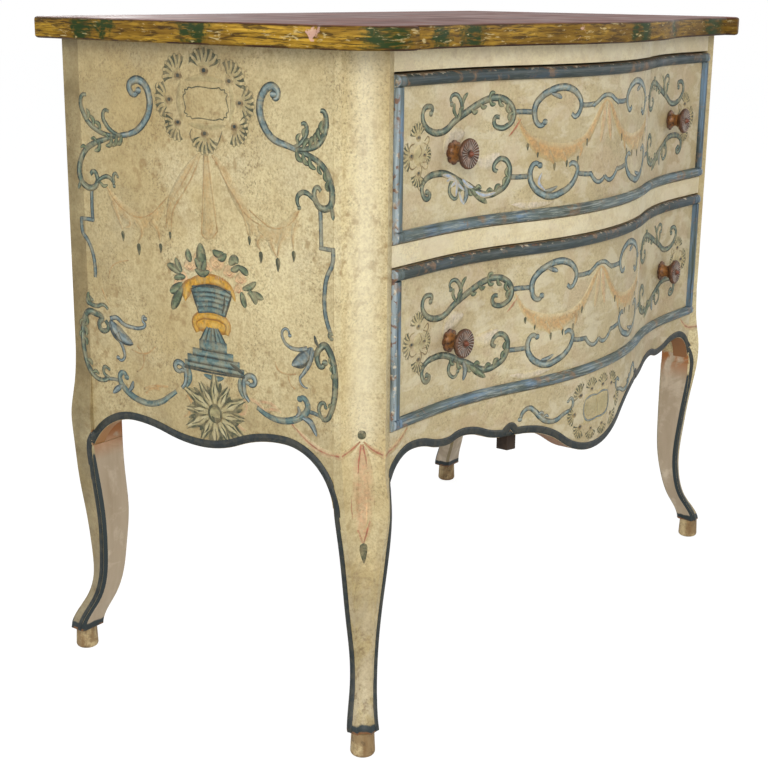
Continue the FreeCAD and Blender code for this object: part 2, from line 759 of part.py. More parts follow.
def make_bead(level, reach, foot, tall):
    """The half-round bead that frames the drawer front, in four strips."""
    strips = []
    crest = at.field_set - at.bead_projection
    for name, low in (("bottom", foot), ("top", foot + tall - at.bead_width)):
        body = new_body(f"{level}_bead_{name}")
        strip = pad(body, new_sketch(body, "XY_Plane", band(crest, at.bead_projection, reach)), at.bead_width)
        doc.recompute()
        rounded = body.newObject("PartDesign::Fillet", "rounded")
        rounded.Base = (strip, front_edges(strip.Shape))
        rounded.setExpression("Radius", at.bead_round.text)
        place(body, z=low)
        strips.append(body)
    field = front + at.face_set + at.field_set
    shoulder_y = field - at.bead_projection + at.bead_round
    for side in (-1, 1):
        inner, outer = (reach - at.bead_width) * side, reach * side
        nose = (outer - at.bead_round * side, inner + at.bead_round * side)
        run = ([(inner, field), (outer, field), (outer, shoulder_y), (nose[0], field - at.bead_projection),
                (nose[1], field - at.bead_projection), (inner, shoulder_y)],
               [None, None, (at.bead_round, -side), None, (at.bead_round, -side)])
        body = padded(f"{level}_bead_end", "XY_Plane", run, tall - at.bead_width * 2, False)
        place(body, z=foot + at.bead_width)
        strips.append(body)
    group(f"{level}_drawer_bead", strips)


def knob_profile():
    head, neck = at.knob_head_diameter / 2, at.knob_neck_diameter / 2
    base, shank = at.knob_base_diameter / 2, at.knob_shank_diameter / 2
    tip = -at.knob_projection
    end = at.field_set + at.drawer_front_thickness + at.knob_nut_height
    waist, rim = tip * KNOB_WAIST_SHARE, tip * KNOB_RIM_SHARE
    dish = tip * KNOB_DISH_SHARE
    points = [(ZERO, end), (ZERO, tip), (at.knob_boss_diameter / 2, dish), (head * KNOB_CAP_SHARE, dish),
              (head, rim), (neck, waist), (base, -at.knob_base_height), (base, ZERO), (shank, ZERO),
              (shank, end)]
    edge = head - head * KNOB_CAP_SHARE
    roll = (edge * edge + (rim - dish) * (rim - dish)) / (edge * 2)
    return points, [None, None, None, (roll, 1), None, None, None, None, None]


def knob_seat(gap):
    """Where a knob's axis meets the drawer front, and how far the axis turns there."""
    radius = bow_radius + at.field_set
    lean = at.bow_half_span - at.knob_place
    drop = (radius * radius - lean * lean).root() - gap
    y = front + at.face_set + at.field_set - radius + drop
    x = at.bow_half_span - lean * (drop / (drop + gap))
    return x, y, f"asin({lean.text} / {radius.text})"


def seat(thing, side, z, gap):
    x, y, angle = knob_seat(gap)
    place(thing, x * side, y, z)
    thing.Placement.Rotation = FreeCAD.Rotation(FreeCAD.Vector(0, 0, 1), 0)
    thing.setExpression("Placement.Rotation.Angle", f"({angle}) * {side}")


def make_knobs(level, height):
    nuts = []
    for side, name in ((-1, "left"), (1, "right")):
        body = new_body(f"{level}_drawer_{name}_knob")
        turned(body, new_sketch(body, "XY_Plane", knob_profile()))
        petal = new_sketch(body, "XZ_Plane")
        bore(petal, at.knob_base_diameter / 2, ZERO, at.knob_petal_diameter / 2)
        leaf = pad(body, petal, at.knob_base_height)
        doc.recompute()
        ring = body.newObject("PartDesign::PolarPattern", "petals")
        ring.Originals = [leaf]
        ring.Axis = (petal, ["N_Axis"])
        ring.Angle = 360
        ring.Occurrences = KNOB_PETALS
        body.Tip = ring
        seat(body, side, height, at.knob_seat_gap)
        keep(body, f"{level}_drawer_{name}_knob")
        nut = new_body(f"{level}_nut_{name}")
        start = at.drawer_front_thickness + at.knob_seat_gap
        rim, hole = at.knob_nut_diameter / 2, at.knob_shank_diameter / 2
        run = ([(hole, start), (rim, start), (rim, start + at.knob_nut_height),
                (hole, start + at.knob_nut_height)], [None, None, None])
        turned(nut, new_sketch(nut, "XY_Plane", run))
        seat(nut, side, height, at.knob_seat_gap)
        nuts.append(nut)
    group(f"{level}_drawer_knob_nuts", nuts)


def check_and_write():
    doc.recompute()
    for thing in doc.Objects:
        if {"Invalid", "Error"} & set(thing.State):
            raise RuntimeError(f"{thing.Label} failed: {thing.State}")
    os.makedirs("parts", exist_ok=True)
    for thing in nodes:
        if thing.Shape.isNull() or not thing.Shape.isValid():
            raise RuntimeError(f"{thing.Label} has no valid shape")
    for thing in nodes:
        thing.Shape.exportStep(os.path.join("parts", thing.Label + ".step"))


make_top()
for end_name, end_sign in (("front", -1), ("rear", 1)):
    for side_name, side_sign in (("left", -1), ("right", 1)):
        make_leg(f"{end_name}_{side_name}_leg", side_sign, end_sign)
        make_foot(f"{end_name}_{side_name}_foot", side_sign, end_sign)
make_side("left_side_panel", -1)
make_side("right_side_panel", 1)
make_back()
make_rails()
make_apron()
make_apron_blocks()
make_runners()
make_stops("lower", lower_floor)
make_stops("upper", upper_floor)
make_drawer("lower", lower_floor, lower_drawer_height, lower_drawer_height / 2 - at.lower_knob_drop)
make_drawer("upper", upper_floor, upper_drawer_height, upper_drawer_height / 2)
check_and_write()
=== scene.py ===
"""A painted two-drawer commode: finishes, painted ornament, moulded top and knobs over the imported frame."""
import math

import bmesh
import bpy
from mathutils import Matrix, Vector
from mathutils.bvhtree import BVHTree


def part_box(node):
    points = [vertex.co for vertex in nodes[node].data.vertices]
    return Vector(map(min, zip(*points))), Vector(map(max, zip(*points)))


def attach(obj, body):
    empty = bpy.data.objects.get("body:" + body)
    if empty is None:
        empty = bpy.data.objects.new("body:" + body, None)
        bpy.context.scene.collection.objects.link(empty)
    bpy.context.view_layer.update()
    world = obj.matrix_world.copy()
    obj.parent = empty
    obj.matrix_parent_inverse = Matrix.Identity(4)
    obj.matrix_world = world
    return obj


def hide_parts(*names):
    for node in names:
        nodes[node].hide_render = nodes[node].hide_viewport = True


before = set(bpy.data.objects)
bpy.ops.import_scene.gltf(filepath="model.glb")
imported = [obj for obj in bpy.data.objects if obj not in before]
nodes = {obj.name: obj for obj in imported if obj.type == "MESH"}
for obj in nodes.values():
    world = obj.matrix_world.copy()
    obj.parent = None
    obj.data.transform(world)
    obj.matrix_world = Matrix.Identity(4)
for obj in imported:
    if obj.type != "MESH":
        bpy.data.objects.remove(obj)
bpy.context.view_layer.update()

# Lengths are in metres. Ornament is drawn in millimetres on the face that carries it.
MM = 0.001
LEFT, RIGHT = -1, 1


# Camera, light and floor

CAMERA_PLACE = Vector((-1.7271, -1.1512, 0.8900))
CAMERA_HEADING = math.radians(54.17)
CAMERA_DIP = math.radians(15.23)
CAMERA_ROLL = 0.0116
CAMERA_LENS = 68.54


def set_camera():
    """The camera of the photograph."""
    data = bpy.data.cameras.new("photo_camera")
    data.lens = CAMERA_LENS
    data.sensor_width = 36
    data.clip_end = 50
    camera = bpy.data.objects.new("photo_camera", data)
    turn = Matrix.Rotation(-CAMERA_HEADING, 4, "Z") @ Matrix.Rotation(math.pi / 2 - CAMERA_DIP, 4, "X")
    camera.matrix_world = Matrix.Translation(CAMERA_PLACE) @ turn @ Matrix.Rotation(CAMERA_ROLL, 4, "Z")
    bpy.context.scene.collection.objects.link(camera)
    bpy.context.scene.camera = camera


def soft_lamp(name, place, target, size, watts, colour=(1, 1, 1)):
    """A soft rectangular lamp at a place that looks at a target."""
    data = bpy.data.lights.new(name, "AREA")
    data.shape = "RECTANGLE"
    data.size, data.size_y = size
    data.energy = watts
    data.color = colour
    lamp = bpy.data.objects.new(name, data)
    lamp.location = place
    lamp.rotation_euler = (Vector(target) - Vector(place)).to_track_quat("-Z", "Y").to_euler()
    bpy.context.scene.collection.objects.link(lamp)


ROOM_COLOUR, ROOM_STRENGTH = (0.95, 0.97, 1.0, 1), 0.37
WHITE = (1, 1, 1, 1)


def set_light():
    """Soft lamps round the chest, in a dim room that looks white."""
    soft_lamp("window_light", (-2.85, -2.15, 2.3), (-0.3, -0.1, 0.45), (1.6, 1.6), 60, (1.0, 0.97, 0.92))
    soft_lamp("post_light", (-1.75, -2.1, 1.0), (-0.45, -0.2, 0.6), (0.25, 1.3), 9, (1.0, 0.98, 0.95))
    soft_lamp("side_fill", (-3.4, 0.9, 1.5), (-0.45, 0.1, 0.5), (1.4, 1.4), 15)
    soft_lamp("front_fill", (1.6, -3.0, 1.6), (0.1, -0.2, 0.5), (1.6, 1.4), 20)
    soft_lamp("back_fill", (1.4, 3.0, 1.8), (0.0, 0.2, 0.5), (1.6, 1.4), 30)
    world = bpy.data.worlds.new("studio")
    bpy.context.scene.world = world
    world.use_nodes = True
    tree = world.node_tree
    tree.nodes.clear()
    seen = most(*(value(tree, "LightPath", f"Is {ray} Ray") for ray in ("Camera", "Glossy", "Transmission")))
    dim = value(tree, "Background", 0, {"Color": ROOM_COLOUR, "Strength": ROOM_STRENGTH})
    white = value(tree, "Background", 0, {"Color": WHITE, "Strength": 1.0})
    both = value(tree, "MixShader", 0, {0: seen, 1: dim, 2: white})
    connect(tree, tree.nodes.new("ShaderNodeOutputWorld"), {"Surface": both})


FLOOR_SIZE = 14
FLOOR_GREY = (0.86, 0.86, 0.86, 1)
FLOOR_GLOW, FLOOR_GLOW_SHARE = 1.24, 0.74


def set_floor():
    """A pale floor that shows white to the camera and keeps the shadow."""
    grid = bmesh.new()
    bmesh.ops.create_grid(grid, x_segments=1, y_segments=1, size=FLOOR_SIZE)
    mesh = bpy.data.meshes.new("floor")
    grid.to_mesh(mesh)
    grid.free()
    floor = bpy.data.objects.new("floor", mesh)
    bpy.context.scene.collection.objects.link(floor)
    material, tree, shader = new_material("floor")
    connect(tree, shader, {"Base Color": FLOOR_GREY, "Roughness": 0.9, "Specular IOR Level": 0.0})
    glow = value(tree, "Emission", 0, {"Color": WHITE, "Strength": FLOOR_GLOW})
    share = value(tree, "LightPath", "Is Camera Ray") * FLOOR_GLOW_SHARE
    both = value(tree, "MixShader", 0, {0: share, 1: Value(tree, shader.outputs[0]), 2: glow})
    connect(tree, tree.nodes["Material Output"], {"Surface": both})
    mesh.materials.append(material)


# Node building

def paint(red, green, blue):
    """A colour as a painter would match it on a chart, 0 to 255, made linear."""
    channels = [channel / 255 for channel in (red, green, blue)]
    return tuple(c / 12.92 if c < 0.04045 else ((c + 0.055) / 1.055) ** 2.4 for c in channels) + (1.0,)


class Value:
    """An output in a node tree, reckoned with like a number."""

    def __init__(self, tree, socket):
        self.tree, self.socket = tree, socket

    def __mul__(self, other):
        return reckon("MULTIPLY", self, other)

    def __add__(self, other):
        return reckon("ADD", self, other)

    def __sub__(self, other):
        return reckon("SUBTRACT", self, other)

    def __rsub__(self, other):
        return reckon("SUBTRACT", other, self)

    def __abs__(self):
        return reckon("ABSOLUTE", self)


def connect(tree, made, inputs):
    """Sets a node's inputs to plain values, or links them to outputs."""
    for name, given in inputs.items():
        if isinstance(given, Value):
            tree.links.new(given.socket, made.inputs[name])
        else:
            made.inputs[name].default_value = given
    return made


def value(tree, kind, output, inputs=None, **settings):
    """An output of a new node with its settings and its inputs."""
    made = tree.nodes.new("ShaderNode" + kind)
    for name, setting in settings.items():
        setattr(made, name, setting)
    return Value(tree, connect(tree, made, inputs or {}).outputs[output])


def tree_of(*values):
    """The node tree that the first output among some values is in."""
    return next(item.tree for item in values if isinstance(item, Value))


def reckon(operation, first, second=0.0):
    """Two values put together by a Math node."""
    return value(tree_of(first, second), "Math", 0, {0: first, 1: second}, operation=operation)


def most(first, *others):
    """The largest of some values."""
    for other in others:
        first = reckon("MAXIMUM", first, other)
    return first


def mix(share, first, second):
    """Two colours mixed."""
    return value(tree_of(share, first, second), "Mix", 2, {0: share, 6: first, 7: second}, data_type="RGBA")


def ramp(given, low, high):
    """A value stretched so that low gives 0 and high gives 1."""
    return value(given.tree, "MapRange", 0, {0: given, 1: low, 2: high})


def new_material(name):
    """A material with its node tree and its shader."""
    material = bpy.data.materials.new(name)
    material.use_nodes = True
    tree = material.node_tree
    return material, tree, tree.nodes["Principled BSDF"]


def object_place(tree):
    """Where a point lies on the chest, in metres."""
    return value(tree, "TexCoord", "Object")


def attribute(tree, name):
    """A number that a mesh carries at each point."""
    return value(tree, "Attribute", "Fac", attribute_name=name)


def axes(vector):
    """The x, y and z of a vector."""
    parts = value(vector.tree, "SeparateXYZ", 0, {0: vector}).socket.node.outputs
    return [Value(vector.tree, part) for part in parts]


def distance(first, second):
    """How far apart two places are."""
    return value(first.tree, "VectorMath", "Value", {0: first, 1: second}, operation="DISTANCE")


def stretched(vector, stretch, shift=(0, 0, 0)):
    """A place with its axes stretched and then shifted."""
    return value(vector.tree, "Mapping", 0, {0: vector, 1: shift, 3: stretch})


def noise(vector, scale, detail=3.0, rough=0.55, distortion=0.0):
    """A cloudy pattern, from about 0 to 1."""
    inputs = {"Vector": vector, "Scale": scale, "Detail": detail, "Roughness": rough,
              "Distortion": distortion}
    return value(vector.tree, "TexNoise", "Fac", inputs)


def new_group(name, inputs, outputs):
    """An empty node group, its inputs as values, and its output node."""
    group = bpy.data.node_groups.new(name, "ShaderNodeTree")
    for label, kind, given in inputs:
        socket = group.interface.new_socket(name=label, in_out="INPUT", socket_type="NodeSocket" + kind)
        if given is not None:
            socket.default_value = given
    for label, kind in outputs:
        group.interface.new_socket(name=label, in_out="OUTPUT", socket_type="NodeSocket" + kind)
    source = group.nodes.new("NodeGroupInput")
    values = {socket.name: Value(group, socket) for socket in source.outputs}
    return group, values, group.nodes.new("NodeGroupOutput")


def use(group, inputs):
    """The outputs of a node group, with its inputs set."""
    tree = inputs["Vector"].tree
    made = tree.nodes.new("ShaderNodeGroup")
    made.node_tree = group
    return {socket.name: Value(tree, socket) for socket in connect(tree, made, inputs).outputs}


def make_patches():
    """Soft patches with ragged rims: 1 inside."""
    inputs = [("Vector", "Vector", None), ("Scale", "Float", 12.0), ("Cover", "Float", 0.4)]
    group, source, sink = new_group("patches", inputs, [("Mask", "Float")])
    low = 0.78 - source["Cover"]
    mask = ramp(noise(source["Vector"], source["Scale"], 6.0, 0.62, 0.4), low, low + 0.10)
    connect(group, sink, {"Mask": mask})
    return group


def make_foxing():
    """Small flecks that gather in clouds, as in old varnish."""
    inputs = [("Vector", "Vector", None), ("Fleck Scale", "Float", 240.0), ("Cloud Scale", "Float", 9.0),
              ("Amount", "Float", 0.5)]
    group, source, sink = new_group("foxing", inputs, [("Mask", "Float")])
    fleck = ramp(noise(source["Vector"], source["Fleck Scale"], 3.0, 0.6), 0.52, 0.68)
    cloud = ramp(noise(source["Vector"], source["Cloud Scale"], 3.0), 0.38, 0.62)
    connect(group, sink, {"Mask": fleck * cloud * source["Amount"]})
    return group


PATCHES, FOXING = make_patches(), make_foxing()


def patches(vector, scale, cover):
    """A mask of patches that cover about a given share."""
    return use(PATCHES, {"Vector": vector, "Scale": scale, "Cover": cover})["Mask"]


def foxing(vector, fleck, cloud, amount):
    """A mask of flecks in clouds."""
    inputs = {"Vector": vector, "Fleck Scale": fleck, "Cloud Scale": cloud, "Amount": amount}
    return use(FOXING, inputs)["Mask"]


CREAM = paint(229, 215, 168)
CREAM_TAN = paint(200, 180, 128)
CREAM_PALE = paint(238, 228, 190)
DAPPLE = paint(162, 133, 86)
STAIN = paint(104, 80, 46)
# The colour of grime, and of painted shade
GRIME_AND_SHADE = paint(124, 104, 62)
LINE_GREEN = paint(34, 46, 48)


def make_aged_cream():
    """Old cream paint: broad tones, brown dapples, fine flecks, the weave of the brush, and a ragged
    darkening for grime and for painted shade.
    """
    group, source, sink = new_group("aged_cream", [("Vector", "Vector", None), ("Grime and Shade", "Float", 0.0)],
                                    [("Colour", "Color"), ("Height", "Float")])
    place = source["Vector"]
    tone = mix(ramp(noise(place, 4.2, 4.0), 0.36, 0.62), CREAM_TAN, CREAM)
    pale = ramp(noise(place, 11.0, 5.0, 0.6), 0.5, 0.72)
    tone = mix(pale * 0.55, tone, CREAM_PALE)
    along_lines = noise(stretched(place, (24, 24, 520)), 1.0, 4.0, 0.6)
    upright_lines = noise(stretched(place, (520, 520, 24)), 1.0, 4.0, 0.6)
    weave = along_lines * 0.55 + upright_lines * 0.45
    tone = mix(ramp(weave, 0.49, 0.62) * 0.12, tone, DAPPLE)
    dapples = ramp(noise(place, 120.0, 3.0, 0.6), 0.44, 0.66)
    tone = mix(dapples * 0.26, tone, DAPPLE)
    mottle = ramp(noise(place, 330.0, 4.0, 0.65), 0.46, 0.66)
    tone = mix(mottle * 0.46, tone, DAPPLE)
    tone = mix(foxing(place, 84.0, 7.0, 0.8), tone, DAPPLE)
    flecks = foxing(place, 340.0, 13.0, 0.62)
    tone = mix(flecks, tone, STAIN)
    ragged = ramp(noise(place, 22.0, 6.0, 0.7), 0.24, 0.64)
    # A ragged darkening by the input, which carries grime and painted shade
    tone = mix(source["Grime and Shade"] * ragged, tone, GRIME_AND_SHADE)
    connect(group, sink, {"Colour": tone, "Height": weave - flecks * 0.5})
    return group


AGED_CREAM = make_aged_cream()


# Finishes

def finish_paint(tree, shader, colour, height, rough=(0.34, 0.58), bump=0.00025):
    """Lays a colour and a height on a surface with a broken sheen."""
    sheen = noise(object_place(tree), 16.0, 4.0)
    gloss = value(tree, "MapRange", 0, {0: sheen, 1: 0.3, 2: 0.7, 3: rough[0], 4: rough[1]})
    relief = value(tree, "Bump", 0, {"Height": height, "Distance": bump, "Strength": 0.6})
    connect(tree, shader, {"Base Color": colour, "Roughness": gloss, "Normal": relief})


def make_side_paint():
    """Cream paint on the sides, darker under the top, low down and at both ends, with a raw lower edge."""
    material, tree, shader = new_material("side_cream")
    place = object_place(tree)
    y, z = axes(place)[1:]
    under_top = ramp(z, 0.6, 0.84) * 0.52
    low_down = ramp(z, 0.52, 0.34) * 0.62
    rearward = ramp(y, 0.02, 0.26) * 0.6
    forward = ramp(y, -0.08, -0.17) * 0.3
    ground = use(AGED_CREAM, {"Vector": place, "Grime and Shade": most(under_top, low_down, rearward, forward)})
    colour = mix(lower_edges(tree), ground["Colour"], paint(170, 122, 72))
    finish_paint(tree, shader, colour, ground["Height"])
    return material


def lower_edges(tree):
    """1 on the faces that look down."""
    facing_z = axes(value(tree, "NewGeometry", "True Normal"))[2]
    return ramp(facing_z, -0.1, -0.16)


def make_front_paint(name, grey, pale):
    """Greyer cream on the drawer fronts and apron, or cream made paler as painted light on the rails; with
    painted shade that deepens towards the right over an even share of grime, pale scuffs and raw lower edges.
    """
    material, tree, shader = new_material(name)
    place = object_place(tree)
    x = axes(place)[0]
    # Painted shade that deepens towards the right, over an even share of grime
    grime_and_shade = ramp(x, -0.3, 0.42) * 0.3 + 0.16
    ground = use(AGED_CREAM, {"Vector": place, "Grime and Shade": grime_and_shade})
    tone = mix(grey, ground["Colour"], paint(170, 160, 134))
    scuffs = patches(stretched(place, (1, 1, 1.6)), 24.0, 0.3)
    tone = mix(scuffs * 0.4, tone, paint(222, 214, 186))
    rubbed = patches(place, 17.0, 0.29)
    tone = mix(rubbed * 0.3, tone, paint(182, 154, 124))
    # Paint made paler as painted light, where a share is given
    tone = mix(pale, tone, paint(248, 238, 204))
    tone = mix(lower_edges(tree), tone, paint(142, 98, 58))
    finish_paint(tree, shader, tone, ground["Height"])
    return material


EAR_HEIGHT = 0.325


def make_leg_paint():
    """Cream paint with a painted highlight in the hollow of each front post and painted shade by its inner
    edge; darker low down, towards the back and under the top; with dark arrises and lip, and bare wood on the
    inward faces.
    """
    material, tree, shader = new_material("leg_paint")
    place = object_place(tree)
    x, y, z = axes(place)
    low_down = ramp(z, 0.4, 0.12) * 0.74
    rearward = ramp(y, 0.1, 0.22) * 0.85
    under_top = ramp(z, 0.7, 0.84) * 0.3
    # Painted shade on the front of each front post, by its inner edge
    painted_post_shade = ramp(abs(x), 0.446, 0.412) * ramp(z, 0.33, 0.42) * 0.52
    grime_and_shade = most(low_down, rearward, under_top, painted_post_shade)
    ground = use(AGED_CREAM, {"Vector": place, "Grime and Shade": grime_and_shade})
    low = ramp(z, 0.3, 0.12)
    scuffs = patches(stretched(place, (1.5, 1.5, 0.7)), 26.0, 0.36)
    colour = mix(scuffs * low * 0.26, ground["Colour"], paint(212, 203, 184))
    # A painted highlight in the hollow of each front post, above the knee
    colour = mix(painted_post_highlight(tree, x, y) * ramp(z, 0.3, 0.4), colour, paint(251, 246, 218))
    colour = mix(ramp(y, 0.2, 0.25) * 0.4, colour, paint(96, 84, 52))
    dirt = foxing(place, 150.0, 20.0, 0.9)
    colour = mix(dirt * low, colour, STAIN)
    below_ear = ramp(z, EAR_HEIGHT, EAR_HEIGHT - 0.004)
    arrises, insides = leg_faces(tree, x, y)
    grain = noise(stretched(place, (60, 60, 8)), 1.0, 5.0, 0.6)
    bare = mix(grain, paint(168, 150, 122), paint(236, 222, 198))
    bare = mix(patches(place, 20.0, 0.4) * 0.45, bare, paint(150, 128, 98))
    raw = ramp(z, 0.28, 0.315) * patches(place, 30.0, 0.42)
    bare = mix(raw, bare, paint(172, 110, 56))
    colour = mix(insides * below_ear, colour, bare)
    colour = mix(arrises * ramp(z, 0.292, 0.288), colour, LINE_GREEN)
    ragged = z - noise(place, 70.0, 3.0) * 0.006
    colour = mix(ramp(ragged, 0.0385, 0.0365), colour, LINE_GREEN)
    chipped = ramp(ragged, 0.031, 0.0296) * patches(place, 80.0, 0.34)
    colour = mix(chipped, colour, paint(128, 88, 52))
    finish_paint(tree, shader, colour, ground["Height"])
    return material


# Where the hollow of a front post is deepest in plan, how far the painted highlight in it reaches, and that
# highlight's share
HOLLOW = (0.4325, -0.188, 0)
HIGHLIGHT_REACH = (0.024, 0.005)
HIGHLIGHT_SHARE = 0.28


def painted_post_highlight(tree, x, y):
    """A mask for the painted highlight in the hollow corner of a front post."""
    plan = value(tree, "CombineXYZ", 0, {0: abs(x), 1: y})
    far = distance(plan, HOLLOW)
    return ramp(far, *HIGHLIGHT_REACH) * HIGHLIGHT_SHARE


def leg_faces(tree, x, y):
    """Two masks for a leg: the arrises between its outer and inner faces, and the inner faces themselves."""
    facing_x, facing_y = axes(value(tree, "NewGeometry", "True Normal"))[:2]
    outwards_x = facing_x * reckon("SIGN", x)
    outwards_y = facing_y * reckon("SIGN", y)
    inwards = reckon("MINIMUM", outwards_x, outwards_y) * -1.0
    insides = ramp(inwards, 0.8, 0.86)
    half_inwards = ramp(inwards, 0.36, 0.42) * ramp(inwards, 0.86, 0.8)
    arrises = half_inwards * ramp(most(outwards_x, outwards_y), 0.36, 0.42)
    return arrises, insides


def make_bead_paint():
    """Slate blue dragged along the bead, with rubbed streaks, olive patches, red-brown outer edges, and
    painted shade on each drawer's top strip.
    """
    material, tree, shader = new_material("bead_paint")
    place = object_place(tree)
    x, z = axes(place)[::2]
    reach = abs(x)
    upright = ramp(reach, 0.3915, 0.394)
    along_bead = noise(stretched(place, (9, 60, 260)), 1.0, 5.0, 0.65)
    up_bead = noise(stretched(place, (260, 120, 10)), 1.0, 5.0, 0.65)
    drag = value(tree, "Mix", 0, {0: upright, 2: along_bead, 3: up_bead})
    tone = mix(ramp(drag, 0.36, 0.66), paint(40, 54, 58), paint(104, 124, 130))
    bright = most(upright * 0.55, patches(place, 9.0, 0.3) * 0.6)
    tone = mix(bright * ramp(drag, 0.4, 0.62), tone, paint(112, 144, 178))
    olive = patches(place, 13.0, 0.34)
    tone = mix(olive * 0.5, tone, paint(84, 92, 72))
    streaks = patches(stretched(place, (20, 140, 560)), 1.0, 0.27)
    tone = mix(streaks * (1.0 - upright) * 0.6, tone, paint(166, 172, 162))
    outer = ramp(reach, 0.4045, 0.4065)
    for level in ("lower", "upper"):
        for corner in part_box(f"{level}_drawer_front"):
            gap = abs(z - corner.z)
            outer = most(outer, ramp(gap, 0.003, 0.0012))
    # Painted shade on the top strip of each drawer's bead
    for level in ("lower", "upper"):
        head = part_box(f"{level}_drawer_front")[1].z
        painted_head_shade = ramp(z, head - 0.018, head - 0.014) * ramp(z, head + 0.002, head)
        tone = mix(painted_head_shade * (1.0 - upright) * 0.8, tone, paint(28, 40, 38))
    pale_side = ramp(reach, 0.404, 0.406) * ramp(up_bead, 0.34, 0.56)
    tone = mix(pale_side * 0.9, tone, paint(168, 182, 188))
    chips = ramp(noise(place, 150.0, 4.0, 0.6), 0.52, 0.58)
    rust = mix(ramp(noise(place, 90.0), 0.48, 0.6), paint(118, 76, 48), paint(214, 204, 180))
    tone = mix(outer * chips * 0.85, tone, rust)
    sparse = patches(place, 48.0, 0.22)
    tone = mix(sparse * 0.6, tone, paint(142, 106, 68))
    finish_paint(tree, shader, tone, drag, (0.38, 0.62), 0.0004)
    return material


# Where the marbling has its dark green and its rose blots: a place, and how far each reaches
GREEN_BLOTS = (((-0.49, 0.192, 0.842), 0.026), ((-0.49, 0.155, 0.846), 0.018),
               ((-0.49, 0.012, 0.842), 0.028), ((-0.46, -0.238, 0.84), 0.034),
               ((-0.36, -0.24, 0.838), 0.022), ((-0.30, -0.25, 0.84), 0.030), ((0.02, -0.29, 0.84), 0.034),
               ((0.18, -0.27, 0.84), 0.024), ((0.36, -0.24, 0.84), 0.036), ((0.47, -0.22, 0.84), 0.030),
               ((0.49, 0.06, 0.84), 0.030), ((-0.20, 0.275, 0.84), 0.036), ((0.25, 0.275, 0.84), 0.030))
ROSE_BLOTS = (((-0.484, -0.158, 0.84), 0.007), ((-0.415, -0.232, 0.84), 0.006),
              ((0.484, -0.158, 0.84), 0.007), ((-0.12, -0.287, 0.84), 0.007))


def blots(place, centres):
    """Ragged spots round given places: 1 inside."""
    rough = (noise(place, 110.0, 4.0, 0.6) - 0.5) * 0.05
    whole = 0.0
    for centre, reach in centres:
        far = distance(place, centre)
        whole = most(whole, ramp(far + rough, reach, reach * 0.6))
    return whole


def make_faux_marble():
    """The top: a maroon face, and a nosed edge dragged with gold and broken by green and rose strokes, with
    painted shade that deepens towards the right and lies on the faces that look down, and darker along the
    upper arris.
    """
    material, tree, shader = new_material("faux_marble")
    place = object_place(tree)
    x = axes(place)[0]
    veins = noise(stretched(place, (5, 9, 9)), 1.6, 6.0, 0.62, 1.2)
    face = mix(ramp(veins, 0.34, 0.66), paint(84, 40, 28), paint(126, 76, 62))
    face = mix(ramp(noise(place, 34.0, 5.0), 0.5, 0.7) * 0.5, face, paint(84, 54, 46))
    drag = noise(stretched(place, (16, 16, 300)), 1.0, 5.0, 0.65)
    gold = mix(ramp(drag, 0.36, 0.66), paint(124, 92, 12), paint(206, 164, 58))
    shadow = patches(stretched(place, (9, 9, 40)), 1.0, 0.36)
    gold = mix(shadow * 0.62, gold, paint(92, 62, 14))
    dashes = patches(stretched(place, (34, 34, 300), (3, 1, 2)), 1.0, 0.29)
    gold = mix(dashes * 0.8, gold, paint(44, 30, 12))
    # Painted shade that deepens towards the right
    painted_rightward_shade = ramp(x, -0.42, 0.4)
    gold = mix(painted_rightward_shade * 0.62, gold, paint(84, 58, 14))
    strokes = ramp(noise(stretched(place, (46, 46, 210), (5, 2, 7)), 1.0, 3.0), 0.34, 0.52)
    gold = mix(blots(place, GREEN_BLOTS) * strokes * 0.95, gold, paint(26, 52, 16))
    white = patches(stretched(place, (60, 60, 240), (7, 4, 1)), 1.0, 0.19)
    gold = mix(white * 0.8, gold, paint(214, 196, 142))
    gold = mix(blots(place, ROSE_BLOTS) * 0.8, gold, paint(214, 172, 156))
    facing_z = axes(value(tree, "NewGeometry", "Normal"))[2]
    upper = ramp(facing_z, 0.62, 0.9)
    colour = mix(upper, gold, face)
    # Darker along the upper arris, and painted shade on the faces that look down
    rim = most(ramp(facing_z, 0.3, 0.55) * (1.0 - upper), ramp(facing_z, -0.25, -0.6))
    broken = ramp(noise(place, 26.0, 4.0), 0.3, 0.54)
    colour = mix(rim * broken, colour, paint(58, 34, 20))
    finish_paint(tree, shader, colour, drag, (0.38, 0.6), 0.0003)
    shader.inputs["Specular IOR Level"].default_value = 0.18
    return material


def make_bare_wood(name, stretch, pale=(176, 140, 96), deep=(112, 80, 50)):
    """Old softwood with its grain along one axis."""
    material, tree, shader = new_material(name)
    place = object_place(tree)
    grain = noise(stretched(place, stretch), 1.0, 6.0, 0.62, 0.6)
    wide = stretched(place, [share * 0.35 for share in stretch])
    rings = value(tree, "TexWave", "Fac", {"Vector": wide, "Scale": 1.0, "Distortion": 5.0, "Detail": 3.0},
                  bands_direction="DIAGONAL")
    tone = mix(ramp(grain, 0.34, 0.68), paint(*deep), paint(*pale))
    tone = mix(rings * 0.3, tone, paint(*deep))
    tone = mix(patches(place, 7.0, 0.34) * 0.35, tone, paint(70, 52, 36))
    finish_paint(tree, shader, tone, grain, (0.6, 0.82), 0.0006)
    return material


